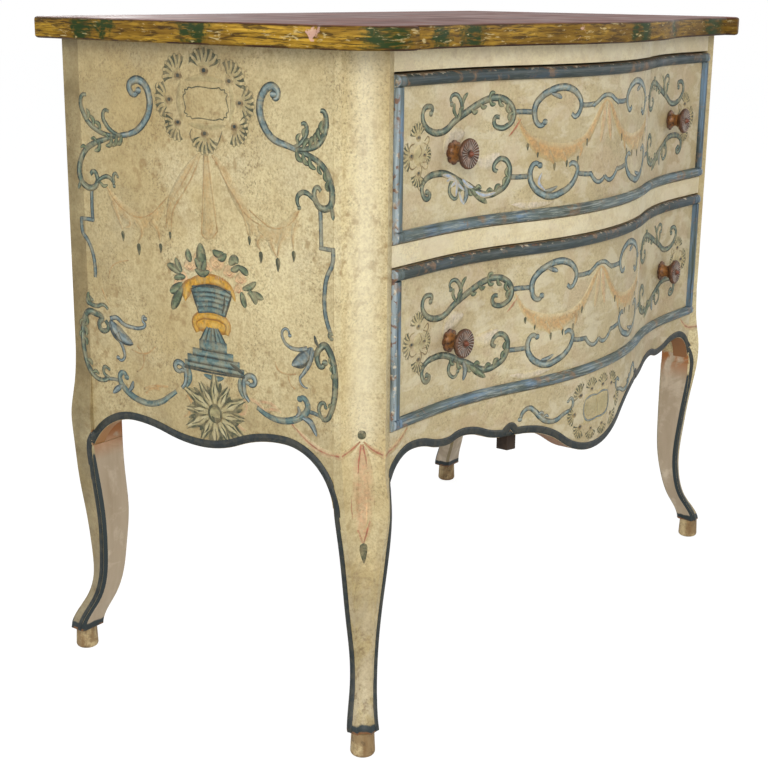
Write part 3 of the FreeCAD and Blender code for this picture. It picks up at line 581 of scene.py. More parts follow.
def make_foot_wood():
    """Worn paint over pale wood, stained near the floor."""
    material, tree, shader = new_material("foot_wood")
    place = object_place(tree)
    grain = noise(stretched(place, (90, 90, 16)), 1.0, 5.0, 0.6)
    tone = mix(ramp(grain, 0.36, 0.66), paint(156, 128, 84), paint(212, 192, 146))
    tone = mix(patches(place, 42.0, 0.36) * 0.7, tone, paint(122, 92, 54))
    tone = mix(foxing(place, 110.0, 30.0, 0.8), tone, paint(74, 56, 36))
    finish_paint(tree, shader, tone, grain, (0.5, 0.75), 0.0006)
    return material


def make_knob_metal():
    """Aged cast metal: dark brown, a golden neck, grey rubbed flutes and a red-brown boss."""
    material, tree, shader = new_material("knob_metal")
    place = object_place(tree)
    rust = noise(place, 190.0, 5.0, 0.62)
    tone = mix(ramp(rust, 0.36, 0.66), paint(52, 35, 26), paint(112, 74, 48))
    neck = attribute(tree, "neck")
    tone = mix(neck * ramp(rust, 0.34, 0.56) * 0.75, tone, paint(160, 106, 48))
    flute = attribute(tree, "flute")
    tone = mix(ramp(flute, 0.5, 0.85) * 0.8, tone, paint(168, 160, 150))
    boss = attribute(tree, "boss")
    tone = mix(boss * 0.7, tone, paint(124, 62, 38))
    finish_paint(tree, shader, tone, rust, (0.34, 0.6), 0.0004)
    shader.inputs["Metallic"].default_value = 0.15
    return material


def make_iron():
    """Dark iron, rusty in places."""
    material, tree, shader = new_material("dark_iron")
    rust = noise(object_place(tree), 120.0, 5.0, 0.6)
    tone = mix(ramp(rust, 0.45, 0.7), paint(44, 40, 38), paint(96, 62, 42))
    finish_paint(tree, shader, tone, rust, (0.5, 0.75), 0.0003)
    shader.inputs["Metallic"].default_value = 0.6
    return material


def dress_frame():
    """Gives each CAD node its finish."""
    side, leg = make_side_paint(), make_leg_paint()
    # The rails' cream is a paler copy of the front cream, as painted light
    front, rail = make_front_paint("front_cream", 0.30, 0.0), make_front_paint("rail_cream_with_painted_light", 0.0, 0.34)
    bead, foot, iron = make_bead_paint(), make_foot_wood(), make_iron()
    wood_x = make_bare_wood("bare_wood_across", (7, 60, 60))
    wood_y = make_bare_wood("bare_wood_lengthwise", (60, 7, 60))
    back = make_bare_wood("back_wood", (5, 40, 44), (150, 118, 82), (84, 62, 42))
    dark = make_bare_wood("dark_wood", (50, 50, 12), (62, 46, 32), (26, 20, 15))
    endings = (("_leg", leg), ("_foot", foot), ("_bead", bead), ("knob_nuts", iron), ("glue_blocks", dark),
               ("side_panel", side), ("drawer_front", front), ("apron", front), ("top_rail", rail),
               ("middle_rail", rail), ("_runner", wood_y), ("_guide", wood_y), ("_kicker", wood_y),
               ("left_side", wood_y), ("right_side", wood_y), ("drawer_back", wood_x),
               ("drawer_bottom", wood_x))
    for name, thing in nodes.items():
        finish = next((material for ending, material in endings if name.endswith(ending)), wood_x)
        if name.startswith("back_board") or name == "rear_top_rail":
            finish = back
        for slot in thing.material_slots:
            slot.material = finish


# Brush paints. A stroke carries how far a point lies across it, from -1 to 1, so that its rim, body and
# lights can differ, and each paint lets some of the aged cream show through.

def make_brush_paint(name, body, rim=None, light=None, cover=0.97, soft=False, wear=0.3):
    """A brush paint in streaks of its body colour, with a rim and lights where they are given."""
    material, tree, shader = new_material("brush_" + name)
    place = object_place(tree)
    ground = use(AGED_CREAM, {"Vector": place, "Grime and Shade": 0.3})
    across = attribute(tree, "across")
    wobble = noise(place, 90.0 if soft else 300.0, 2.0) - 0.5
    spread = wobble * 0.45 + abs(across)
    streak = noise(place, 240.0, 4.0, 0.6)
    deep = [channel * 0.8 for channel in body]
    bright = [min(255, channel * 1.12) for channel in body]
    tone = mix(ramp(streak, 0.36, 0.66), paint(*deep), paint(*bright))
    if rim:
        tone = mix(ramp(spread, 0.46, 0.7) * 0.96, tone, paint(*rim))
    if light:
        lit = ramp(abs(across + 0.14), 0.36, 0.1)
        broken = ramp(noise(place, 75.0, 3.0), 0.4, 0.62)
        tone = mix(lit * broken * 0.85, tone, paint(*light))
    worn = patches(place, 90.0, 0.32) * wear
    share = (1.0 - worn) * cover
    if soft:
        share = share * ramp(spread, 1.0, 0.3) * ramp(noise(place, 30.0, 3.0), 0.02, 0.52)
    tone = mix(share, ground["Colour"], tone)
    finish_paint(tree, shader, tone, ground["Height"], (0.36, 0.58), 0.0002)
    return material


# The brush paints' colours, and how much of the ground they cover. Soft ones fade out to their rims.
BRUSH_LOOKS = {
    "blue": dict(body=(104, 126, 128), rim=(38, 54, 54), light=(168, 180, 174)),
    "green": dict(body=(76, 96, 84), rim=(28, 42, 36), light=(146, 160, 142)),
    "leaf": dict(body=(90, 106, 80), rim=(42, 56, 42), light=(140, 152, 122)),
    "blue_leaf": dict(body=(108, 126, 130), rim=(46, 62, 66), light=(160, 174, 172)),
    "slate": dict(body=(86, 116, 116), rim=(54, 78, 80), light=(130, 152, 146)),
    "strap": dict(body=(92, 112, 114), rim=(42, 58, 60), light=(138, 152, 146)),
    "bright_blue": dict(body=(150, 174, 206), light=(212, 222, 232), cover=0.84, soft=True),
    "line": dict(body=(38, 52, 52), cover=0.985, wear=0.15),
    "hair": dict(body=(62, 70, 50), cover=0.94),
    "faint_hair": dict(body=(92, 96, 66), cover=0.50),
    "olive": dict(body=(146, 142, 100), rim=(84, 82, 50), light=(192, 186, 140), cover=0.80),
    "petal": dict(body=(176, 168, 126), rim=(122, 116, 78), light=(206, 198, 158), cover=0.85),
    "eye": dict(body=(98, 76, 44), cover=0.88, soft=True),
    "wash": dict(body=(202, 160, 100), cover=0.36, soft=True),
    "ochre": dict(body=(192, 146, 90), cover=0.66, soft=True, wear=0.1),
    "ochre_line": dict(body=(176, 128, 72), cover=0.66, soft=True),
    "olive_wash": dict(body=(140, 132, 90), cover=0.50, soft=True),
    "rose_wash": dict(body=(206, 144, 114), cover=0.42, soft=True),
    "red_line": dict(body=(166, 82, 62), cover=0.92, soft=True),
    "peach": dict(body=(228, 186, 140), rim=(200, 140, 100), cover=0.80, soft=True),
    "pale_wear": dict(body=(216, 206, 194), cover=0.55, soft=True),
    "gold": dict(body=(198, 148, 44), rim=(158, 108, 28), light=(222, 182, 88)),
    "border": dict(body=(26, 37, 38), cover=1.0, wear=0.05),
}
BRUSHES = {name: make_brush_paint(name, **look) for name, look in BRUSH_LOOKS.items()}
BRUSH_ORDER = list(BRUSHES)


# New pieces

def merged_copy(name):
    """A CAD node's mesh as a bmesh with its loose triangles joined."""
    made = bmesh.new()
    made.from_mesh(nodes[name].data)
    bmesh.ops.remove_doubles(made, verts=made.verts, dist=WELD)
    return made


def finish_piece(name, work, materials, body, sharp_from=math.radians(40)):
    """Makes a bmesh a piece that rides on a body, smooth up to an angle."""
    mesh = bpy.data.meshes.new(name)
    work.to_mesh(mesh)
    work.free()
    for material in materials:
        mesh.materials.append(material)
    mesh.shade_smooth()
    if sharp_from:
        mesh.set_sharp_from_angle(angle=sharp_from)
    piece = bpy.data.objects.new(name, mesh)
    bpy.context.scene.collection.objects.link(piece)
    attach(piece, body)
    return piece


NOSE_ROUND, NOSE_STEPS = 0.0045, 4
FACES_UP = 0.9
WELD = 0.00001


def make_top():
    """The top board with the round nose of its edge: the CAD board's face, drawn down to its thickness."""
    top = merged_copy("top_board")
    low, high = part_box("top_board")
    others = [face for face in top.faces
              if face.normal.z < FACES_UP or face.calc_center_median().z < high.z - MM]
    bmesh.ops.delete(top, geom=others, context="FACES")
    bmesh.ops.dissolve_limit(top, angle_limit=math.radians(0.8), verts=top.verts, edges=top.edges)
    drawn = bmesh.ops.extrude_face_region(top, geom=top.faces[:], use_keep_orig=True)["geom"]
    lowered = [item for item in drawn if isinstance(item, bmesh.types.BMVert)]
    bmesh.ops.translate(top, vec=(0, 0, low.z - high.z), verts=lowered)
    bmesh.ops.recalc_face_normals(top, faces=top.faces)
    arrises = [edge for edge in top.edges
               if abs(edge.verts[0].co.z - edge.verts[1].co.z) < WELD and edge.is_manifold]
    bmesh.ops.bevel(top, geom=arrises, offset=NOSE_ROUND, offset_type="OFFSET", segments=NOSE_STEPS,
                    profile=0.5, affect="EDGES", clamp_overlap=True, material=-1)
    bmesh.ops.triangulate(top, faces=[face for face in top.faces if len(face.verts) > 4])
    piece = finish_piece("moulded_top", top, [make_faux_marble()], "carcass",
                         math.radians(35))
    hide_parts("top_board")


# Knobs

KNOB_PLACE = 0.290
KNOB_SEAT = -0.2095
# How far a knob stands from where its arc of the front lies level, and that arc's radius, in millimetres
KNOB_FROM_LEVEL, FRONT_ARC_RADIUS = 40, 529.93
KNOB_TURN = math.asin(KNOB_FROM_LEVEL / FRONT_ARC_RADIUS)
KNOB_STEPS = 96
PETALS, FLUTES = 8, 24
# Radius and distance out from the drawer front, in millimetres, from the nut's side to the boss
KNOB_PROFILE = ((3.0, -27.0), (3.0, -0.2), (11.4, -0.2), (12.6, 0.8), (12.4, 2.2), (10.2, 3.4), (8.9, 5.6),
                (8.0, 9.2), (8.3, 12.0), (9.6, 13.2), (9.6, 14.4), (10.6, 15.8), (14.2, 18.4), (17.2, 20.4),
                (18.0, 22.2), (17.8, 24.0), (16.8, 25.2), (15.6, 25.6), (14.4, 25.2), (12.0, 24.6),
                (9.0, 24.4), (5.6, 24.6), (3.8, 25.2), (3.2, 26.8), (2.4, 28.6), (1.2, 29.7), (0.0, 30.0))
BASE_REACH, NECK_REACH, FACE_INNER, FACE_OUTER, FACE_DEPTH, BOSS_REACH = 3.0, 15.0, 4.6, 15.9, 24.0, 3.4
BASE_FOOT, BASE_INNER = -0.5, 8
PETAL_SWELL, PETAL_SHARPNESS = 0.16, 0.7
FLUTE_RISE = 0.5


def make_knob(level, name, side, material):
    """A turned knob with petals at its base and a fluted face."""
    knob = bmesh.new()
    profile = [knob.verts.new((radius * MM, -out * MM, 0)) for radius, out in KNOB_PROFILE]
    edges = [knob.edges.new(pair) for pair in zip(profile, profile[1:])]
    bmesh.ops.spin(knob, geom=profile + edges, cent=(0, 0, 0), axis=(0, 1, 0), angle=2 * math.pi,
                   steps=KNOB_STEPS, use_merge=True)
    bmesh.ops.remove_doubles(knob, verts=knob.verts, dist=WELD)
    flute = knob.verts.layers.float.new("flute")
    boss = knob.verts.layers.float.new("boss")
    neck = knob.verts.layers.float.new("neck")
    for vert in knob.verts:
        radius, out = math.hypot(vert.co.x, vert.co.z) / MM, -vert.co.y / MM
        angle = math.atan2(vert.co.z, vert.co.x)
        if BASE_FOOT < out < BASE_REACH and radius > BASE_INNER:
            petal = 1 + PETAL_SWELL * abs(math.cos(angle * PETALS / 2)) ** PETAL_SHARPNESS
            vert.co.x, vert.co.z = vert.co.x * petal, vert.co.z * petal
        if out > FACE_DEPTH and FACE_INNER < radius < FACE_OUTER:
            ridge = math.cos(angle * FLUTES)
            vert.co.y -= FLUTE_RISE * MM * ridge
            vert[flute] = 0.5 + 0.5 * ridge
        if out > FACE_DEPTH and radius < BOSS_REACH:
            vert[boss] = 1.0
        if BASE_REACH < out < NECK_REACH:
            vert[neck] = 1.0
    bmesh.ops.recalc_face_normals(knob, faces=knob.faces)
    low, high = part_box(f"{level}_drawer_{name}_knob")
    place = Matrix.Translation((KNOB_PLACE * side, KNOB_SEAT, (low.z + high.z) / 2))
    bmesh.ops.transform(knob, matrix=place @ Matrix.Rotation(KNOB_TURN * side, 4, "Z"), verts=knob.verts)
    piece = finish_piece(f"{level}_{name}_petalled_knob", knob, [material], f"{level}_drawer")
    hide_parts(f"{level}_drawer_{name}_knob")


# Painted ornament

TAPERS = {
    "even": lambda t: 1.0,
    "leaf": lambda t: 0.08 + 0.92 * math.sin(math.pi * t) ** 0.75,
    "scroll": lambda t: 0.62 + 0.38 * math.sin(math.pi * t),
    "tail": lambda t: 1.0 - 0.82 * t,
    "drop": lambda t: 0.12 + 0.88 * math.sin(math.pi * t ** 0.6),
    "curl": lambda t: 0.45 + 0.55 * t,
    "round": lambda t: max(0.06, 1 - (2 * t - 1) ** 2) ** 0.5,
}
ROUNDED_TAPERS = ("leaf", "drop", "round")
# The brush's section: its places across, and whether each lies on top or is buried under the surface
BRUSH_SECTION = ((-1, False), (-0.95, True), (-0.34, True), (0.34, True), (0.95, True), (1, False),
                 (0, False))
SECTION_RISE = 0.0001
LAYER_LIFT = 0.00010
STROKE_LIFT = 0.000002
BURIED = -0.0005
STRIP_WELD = 0.0000005
# Strokes of one layer lie at this many heights in turn, so that they don't share a plane
STROKE_RANKS = 40
JOINT_REACH = 0.004
# How far off the chest's middle a look at a face starts, and where it searches from if it meets nothing
LOOK_FROM, LOOK_NEAR = 2.0, 0.4
# The narrowest half width, the width from which rounded strokes get more points, and the steps between them
LEAST_HALF, FINE_FROM = 0.14, 2.5
ROUNDED_STEPS, PLAIN_STEPS = 2, 5
# A scroll's swelling and the bulb at its end, as shares of its width
SCROLL_SWELL, BULB = 1.12, 0.46
# A frond's lean off its scroll, the turns of its bend and its tip, and its width as a share of its size
FROND_LEAN, FROND_BEND, FROND_TIP, FROND_WIDTH = 0.75, 0.25, 0.2, 0.54
# How much longer fronds are on a scroll's first and second half, and where along them they bend
FROND_FIRST, FROND_SECOND, FROND_ELBOW = 1.30, 1.15, 0.6
SHELL_WEDGE = 0.36
# How a drawing is fitted to its face: for u and for v, a shift and the shares of the drawn u and v
SIDE_FIT = ((-9.4, 0.984, 0.0201), (0.0, -0.0135, 0.9986))
FRONT_FIT = ((11.8, 0.997, -0.0288), (3.4, -0.0016, 0.9986))
PLAIN_FIT = ((0.0, 1.0, 0.0), (0.0, 0.0, 1.0))


class Face:
    """A painted face of the chest, drawn on by looking at it along one direction."""

    def __init__(self, names, across, inward, fit=PLAIN_FIT, joints=()):
        self.across, self.inward, self.fit, self.joints = Vector(across), Vector(inward), fit, joints
        whole = bmesh.new()
        for name in names:
            whole.from_mesh(nodes[name].data)
        self.tree = BVHTree.FromBMesh(whole)
        whole.free()

    def fitted(self, u, v):
        """A drawn point where it belongs on the face."""
        return tuple(shift + share_u * u + share_v * v for shift, share_u, share_v in self.fit)

    def spot(self, u, v, height):
        """The point over (u, v), a height off the surface. A joint between two pieces is bridged."""
        for joint in self.joints:
            part = (u - joint) / JOINT_REACH
            if abs(part) < 1:
                ends = [self.cast(joint + end * JOINT_REACH, v) for end in (-1, 1)]
                bridge = ends[0].lerp(ends[1], (part + 1) / 2)
                outer = min(bridge, self.cast(u, v), key=lambda place: place.dot(self.inward))
                return outer - self.inward * height
        return self.cast(u, v) - self.inward * height

    def cast(self, u, v):
        """The point on the surface over (u, v)."""
        start = self.across * u + Vector((0, 0, v)) - self.inward * LOOK_FROM
        hit = self.tree.ray_cast(start, self.inward)[0]
        if hit is None:
            hit = self.tree.find_nearest(start + self.inward * (LOOK_FROM - LOOK_NEAR))[0]
        return hit


def flat_brush():
    """The section of a brush stroke, one unit to each side."""
    data = bpy.data.curves.new("flat_brush", "CURVE")
    data.dimensions = "2D"
    spline = data.splines.new("POLY")
    spline.points.add(len(BRUSH_SECTION) - 1)
    last = len(BRUSH_SECTION) - 1
    for index, (point, (across, on_top)) in enumerate(zip(spline.points, BRUSH_SECTION)):
        point.co = (across, SECTION_RISE if on_top else -SECTION_RISE if index == last else 0, 0, 1)
    spline.use_cyclic_u = True
    return bpy.data.objects.new("flat_brush", data)


class Painting:
    """The brush strokes on one face. Points and widths are millimetres on that face."""

    def __init__(self, name, face, lift=0.0):
        self.name, self.face, self.lift, self.flip = name, face, lift, 1
        self.strokes = []

    def brush(self, colour, points, width, taper="even", layer=1, closed=False):
        """Adds a stroke along a line, in one of the brush paints. A higher layer lies over a lower one."""
        if taper in ROUNDED_TAPERS and width > FINE_FROM:
            points = finer(points)
        placed = [self.face.fitted(u * self.flip, v + self.lift) for u, v in points]
        self.strokes.append((colour, layer, placed, width / 2, taper, closed))

    def mirrored(self, draw):
        """Draws a motif and its mirror image about the middle of the face."""
        draw(self)
        self.flip = -1
        draw(self)
        self.flip = 1

    def scroll(self, points, width, colour="blue", taper="scroll", layer=2, eye=True):
        """A rocaille scroll, with a round bulb at the end of its curl."""
        self.brush(colour, points, width * SCROLL_SWELL, taper, layer)
        if eye:
            (u, v), size = points[0], width * BULB
            self.brush(colour, [(u - size, v), (u, v), (u + size, v)], size * 2, "round", layer)

    def leaf(self, points, width, colour="leaf", layer=3):
        """A leaf that swells in its middle."""
        self.brush(colour, points, width, "leaf", layer)

    def fronds(self, path, size, side, spots, colour="leaf"):
        """Small acanthus teeth that grow out of a scroll at shares of its length."""
        for share in spots:
            (u, v), (du, dv) = along(path, share)
            long = size * (FROND_FIRST if share < 0.5 else FROND_SECOND)
            turn = math.atan2(dv, du) + side * FROND_LEAN
            bend_turn, tip_turn = turn + side * FROND_BEND, turn - side * FROND_TIP
            elbow = long * FROND_ELBOW
            bend = (u + elbow * math.cos(bend_turn), v + elbow * math.sin(bend_turn))
            tip = (u + long * math.cos(tip_turn), v + long * math.sin(tip_turn))
            self.leaf([(u, v), bend, tip], size * FROND_WIDTH, colour)

    def strap(self, points, width):
        """A double-ruled band between scrolls."""
        self.brush("strap", points, width, "even", 1)

    def tassel(self, u, v, long=11):
        """A dark drop that hangs from a cloth."""
        drop = [(u, v + long / 2), (u - 0.6, v), (u - 0.3, v - long / 2)]
        self.brush("hair", drop, long * 0.44, "drop", 3)

    def shell(self, u, v, heading, radius):
        """A fan shell round a brown eye: a soft fan, dark wedges between its petals, and petal rims."""

        def at(turn, reach):
            whole, far = heading + turn, radius * reach
            return u + far * math.cos(whole), v + far * math.sin(whole)

        for reach in (0.45, 0.72):
            fan = [at(turn, reach) for turn in (-1.1, 0.0, 1.1)]
            self.brush("olive_wash", fan, radius * 0.66, "leaf", 1)
        for step in range(-3, 4):
            turn, foot = step * SHELL_WEDGE, 0.42 if step % 2 else 0.58
            wedge = [at(turn, 1.04), at(turn + 0.05, 0.8), at(turn, foot)]
            self.brush("hair", wedge, radius * 0.22, "tail", 3)
            if step < 3:
                rim = [at(turn + share * SHELL_WEDGE, 0.98 + 0.14 * math.sin(math.pi * share))
                       for share in (0, 0.25, 0.5, 0.75, 1)]
                self.brush("faint_hair", rim, radius * 0.06, "scroll", 2)
        eye = [(u - radius * 0.28, v), (u, v), (u + radius * 0.28, v)]
        self.brush("eye", eye, radius * 0.56, "round", 2)
        pupil = [(u - radius * 0.11, v), (u, v + 0.6), (u + radius * 0.11, v)]
        self.brush("line", pupil, radius * 0.20, "round", 4)

    def finish(self, body):
        """Turns the strokes into one closed mesh that lies on the face."""
        whole = bmesh.new()
        across_layer = whole.verts.layers.float.new("across")
        section = flat_brush()
        rank = 0
        for colour, layer in sorted({stroke[:2] for stroke in self.strokes},
                                    key=lambda key: (key[1], key[0])):
            chosen = [stroke for stroke in self.strokes if stroke[:2] == (colour, layer)]
            flat = ribbon_mesh(chosen, section, layer, rank)
            rank = (rank + len(chosen)) % STROKE_RANKS
            before = len(whole.faces)
            whole.from_mesh(flat)
            bpy.data.meshes.remove(flat)
            whole.faces.ensure_lookup_table()
            self.lay(whole.faces[before:], whole.loops.layers.uv.active, across_layer,
                     BRUSH_ORDER.index(colour))
        bpy.data.objects.remove(section)
        bmesh.ops.remove_doubles(whole, verts=whole.verts, dist=STRIP_WELD)
        bmesh.ops.recalc_face_normals(whole, faces=whole.faces)
        finish_piece(self.name, whole, BRUSHES.values(), body, None)

    def lay(self, faces, uv, across_layer, slot):
        """Lays converted strips on the face. Their UV map tells where each corner lies round the section."""
        count = len(BRUSH_SECTION)
        places = {}
        for face in faces:
            face.material_index = slot
            is_cap = all(loop[uv].uv.y < 0.001 for loop in face.loops)
            for loop in face.loops:
                x, y = loop[uv].uv
                places[loop.vert] = round(x * (count - 1)) if is_cap else round(y * count) % count
        for vert, index in places.items():
            across, on_top = BRUSH_SECTION[index]
            u, v, height = vert.co
            vert[across_layer] = across
            vert.co = self.face.spot(u, v, height if on_top else BURIED)


def finer(points):
    """The points with three more in each gap, on a smooth line through them all."""
    whole = []
    for index in range(len(points) - 1):
        before, start = points[max(index - 1, 0)], points[index]
        end, after = points[index + 1], points[min(index + 2, len(points) - 1)]
        for t in (0, 0.25, 0.5, 0.75):
            whole.append(tuple(0.5 * (2 * b + (c - a) * t + (2 * a - 5 * b + 4 * c - d) * t ** 2
                                      + (3 * b - a - 3 * c + d) * t ** 3)
                               for a, b, c, d in zip(before, start, end, after)))
    return whole + [points[-1]]


def ribbon_mesh(strokes, section, layer, rank):
    """Tapered strips along smooth lines, flat on the drawing plane, each at its own small height."""
    data = bpy.data.curves.new("brush_lines", "CURVE")
    data.dimensions = "3D"
    data.twist_mode = "Z_UP"
    data.bevel_mode = "OBJECT"
    data.bevel_object = section
    data.use_fill_caps = True
    for order, (points, half, taper, closed) in enumerate(stroke[2:] for stroke in strokes):
        lift = LAYER_LIFT * layer + STROKE_LIFT * ((rank + order) % STROKE_RANKS)
        spline = data.splines.new("BEZIER")
        spline.bezier_points.add(len(points) - 1)
        spline.use_cyclic_u = closed
        spline.resolution_u = ROUNDED_STEPS if taper in ROUNDED_TAPERS else PLAIN_STEPS
        for index, (point, (u, v)) in enumerate(zip(spline.bezier_points, points)):
            point.co = (u * MM, v * MM, lift)
            point.handle_left_type = point.handle_right_type = "AUTO"
            share = index / max(1, len(points) - 1)
            point.radius = max(half * TAPERS[taper](share), LEAST_HALF) * MM
    line = bpy.data.objects.new("brush_lines", data)
    bpy.context.scene.collection.objects.link(line)
    bpy.context.scene.collection.objects.link(section)
    bpy.context.view_layer.update()
    flat = bpy.data.meshes.new_from_object(line.evaluated_get(bpy.context.evaluated_depsgraph_get()))
    bpy.context.scene.collection.objects.unlink(section)
    bpy.data.objects.remove(line)
    bpy.data.curves.remove(data)
    return flat


def along(points, share):
    """The place and direction at a share of a line's length."""
    steps = [math.dist(a, b) for a, b in zip(points, points[1:])]
    left = share * sum(steps)
    for (a, b), step in zip(zip(points, points[1:]), steps):
        if left <= step or b is points[-1]:
            part = left / step
            du, dv = b[0] - a[0], b[1] - a[1]
            return (a[0] + du * part, a[1] + dv * part), (du / step, dv / step)
        left -= step


# Side panels: u runs to the back and v upwards

def paint_rear_scrolls(side):
    """The scrollwork down the rear half of a side."""
    crook = [(127, 769), (134, 764), (141, 768), (142, 775), (136, 780), (125, 781), (114, 774), (109, 762),
             (110, 747), (117, 735), (130, 723), (144, 717), (161, 714)]
    side.scroll(crook, 10)
    bend = [(152, 716), (178, 711), (192, 707), (209, 702), (225, 693), (235, 680), (239, 666), (237, 656),
            (229, 648), (218, 646), (208, 652), (207, 661), (213, 667), (219, 663)]
    side.scroll(bend, 8.4, "green", eye=False)
    long_leaf = [(168, 713), (188, 714), (204, 719), (217, 727), (226, 739), (230, 751), (226, 760),
                 (219, 761)]
    side.scroll(long_leaf, 7, "green", eye=False)
    short_leaf = [(164, 714), (176, 718), (186, 726), (191, 736), (187, 743), (180, 742)]
    side.scroll(short_leaf, 6, "green", eye=False)
    side.fronds(long_leaf, 12, 1, (0.30, 0.44, 0.58))
    side.fronds(bend, 13, -1, (0.04, 0.09, 0.14, 0.27))
    side.fronds(bend, 9, 1, (0.18, 0.30, 0.42))
    side.scroll([(177, 651), (180, 658), (188, 662), (198, 660), (208, 654)], 5.6, "green")
    side.scroll([(170, 663), (174, 667), (178, 662), (176, 655)], 4.6, "green")
    side.leaf([(204, 656), (196, 650), (188, 652)], 5)
    side.leaf([(237, 655), (240, 648), (243, 643)], 5.4, "green")
    side.strap([(218, 647), (219.4, 625), (219.4, 604)], 6.4)
    side.strap([(217, 605.5), (231, 606), (242, 605.5)], 6)
    side.strap([(240, 607), (240.4, 598), (239, 588), (230, 578), (223, 564), (220, 548), (220.4, 532)], 6.6)


def paint_front_scrolls(side):
    """The scrollwork down the front half of a side."""
    crook = [(-87, 772), (-90, 768), (-94, 773), (-89, 780), (-80, 780), (-72, 773), (-67, 762), (-67, 749),
             (-72, 737), (-81, 726), (-92, 720), (-104, 717), (-118, 713)]
    side.scroll(crook, 10)
    bend = [(-112, 715), (-126, 711), (-138, 707), (-151, 701), (-162, 691), (-168, 678), (-170, 666),
            (-168, 655), (-161, 650), (-152, 651), (-146, 658), (-144, 666), (-149, 673), (-154, 669)]
    side.scroll(bend, 8, "green", eye=False)
    long_leaf = [(-116, 713), (-132, 714), (-145, 717), (-154, 723), (-161, 735), (-163, 747), (-160, 756),
                 (-155, 757)]
    side.scroll(long_leaf, 7.4, "green", eye=False)
    short_leaf = [(-112, 714), (-122, 718), (-132, 727), (-135, 737), (-132, 742), (-127, 741)]
    side.scroll(short_leaf, 6, "green", eye=False)
    side.fronds(long_leaf, 13, -1, (0.16, 0.28, 0.40, 0.52, 0.62))
    side.fronds(short_leaf, 10, -1, (0.25, 0.5))
    side.fronds(bend, 13, 1, (0.05, 0.12, 0.19))
    side.fronds(bend, 10, 1, (0.30, 0.38, 0.46))
    side.scroll([(-122, 648), (-119, 656), (-122, 663), (-131, 666), (-141, 661), (-151, 652)], 6, "green")
    side.leaf([(-168, 654), (-170, 646), (-171, 638)], 6, "green")
    side.strap([(-152.5, 650), (-153, 628), (-153.3, 604)], 6.2)
    side.strap([(-150, 605.5), (-161, 605), (-172, 604.6)], 5.6)
    side.strap([(-170, 607), (-170, 596), (-168, 587), (-161, 574), (-157, 556), (-157, 533), (-161, 518),
                (-165, 509)], 6.4)


CARTOUCHE = (17, 758)
CARTOUCHE_HALF = (34, 18)
CARTOUCHE_WAVES = 14


def paint_cartouche(side):
    """A blank frame with a wavy rim, and shells all round it."""
    rim = []
    for step in range(CARTOUCHE_WAVES * 3):
        turn = step * 2 * math.pi / (CARTOUCHE_WAVES * 3)
        wave = 1 + 0.045 * math.sin(turn * CARTOUCHE_WAVES)
        circle = (math.cos(turn), math.sin(turn))
        rim.append(tuple(middle + half * wave * math.copysign(abs(part) ** 0.42, part)
                         for middle, half, part in zip(CARTOUCHE, CARTOUCHE_HALF, circle)))
    side.brush("hair", rim, 1.4, "even", 2, closed=True)
    shells = ((18, 795, 90, 25), (-21, 784, 48, 22), (-36, 760, 2, 21), (-27, 733, -42, 20),
              (20, 723, -92, 22), (63, 734, 222, 20), (76, 760, 180, 22), (60, 788, 132, 23))
    for place_u, place_v, heading, radius in shells:
        side.shell(place_u, place_v, math.radians(180 - heading), radius)
    for fold in (((40, 712), (44, 722), (40, 728)), ((2, 708), (-3, 717), (-8, 728)),
                 ((88, 744), (80, 745), (72, 744)), ((-52, 748), (-42, 745), (-36, 740)),
                 ((42, 802), (38, 810), (42, 808)), ((-4, 800), (-8, 808), (-3, 806)),
                 ((-40, 720), (-44, 728), (-40, 736)), ((84, 722), (78, 730), (80, 738)),
                 ((92, 768), (98, 774), (94, 780))):
        side.brush("hair", fold, 1.8, "leaf", 2)
    for shade in (((56, 784), (60, 758), (55, 736)), ((-22, 782), (-26, 758), (-20, 738)),
                  ((48, 784), (16, 787), (-14, 783)), ((46, 733), (17, 731), (-14, 734))):
        side.brush("olive_wash", shade, 9, "leaf", 1)


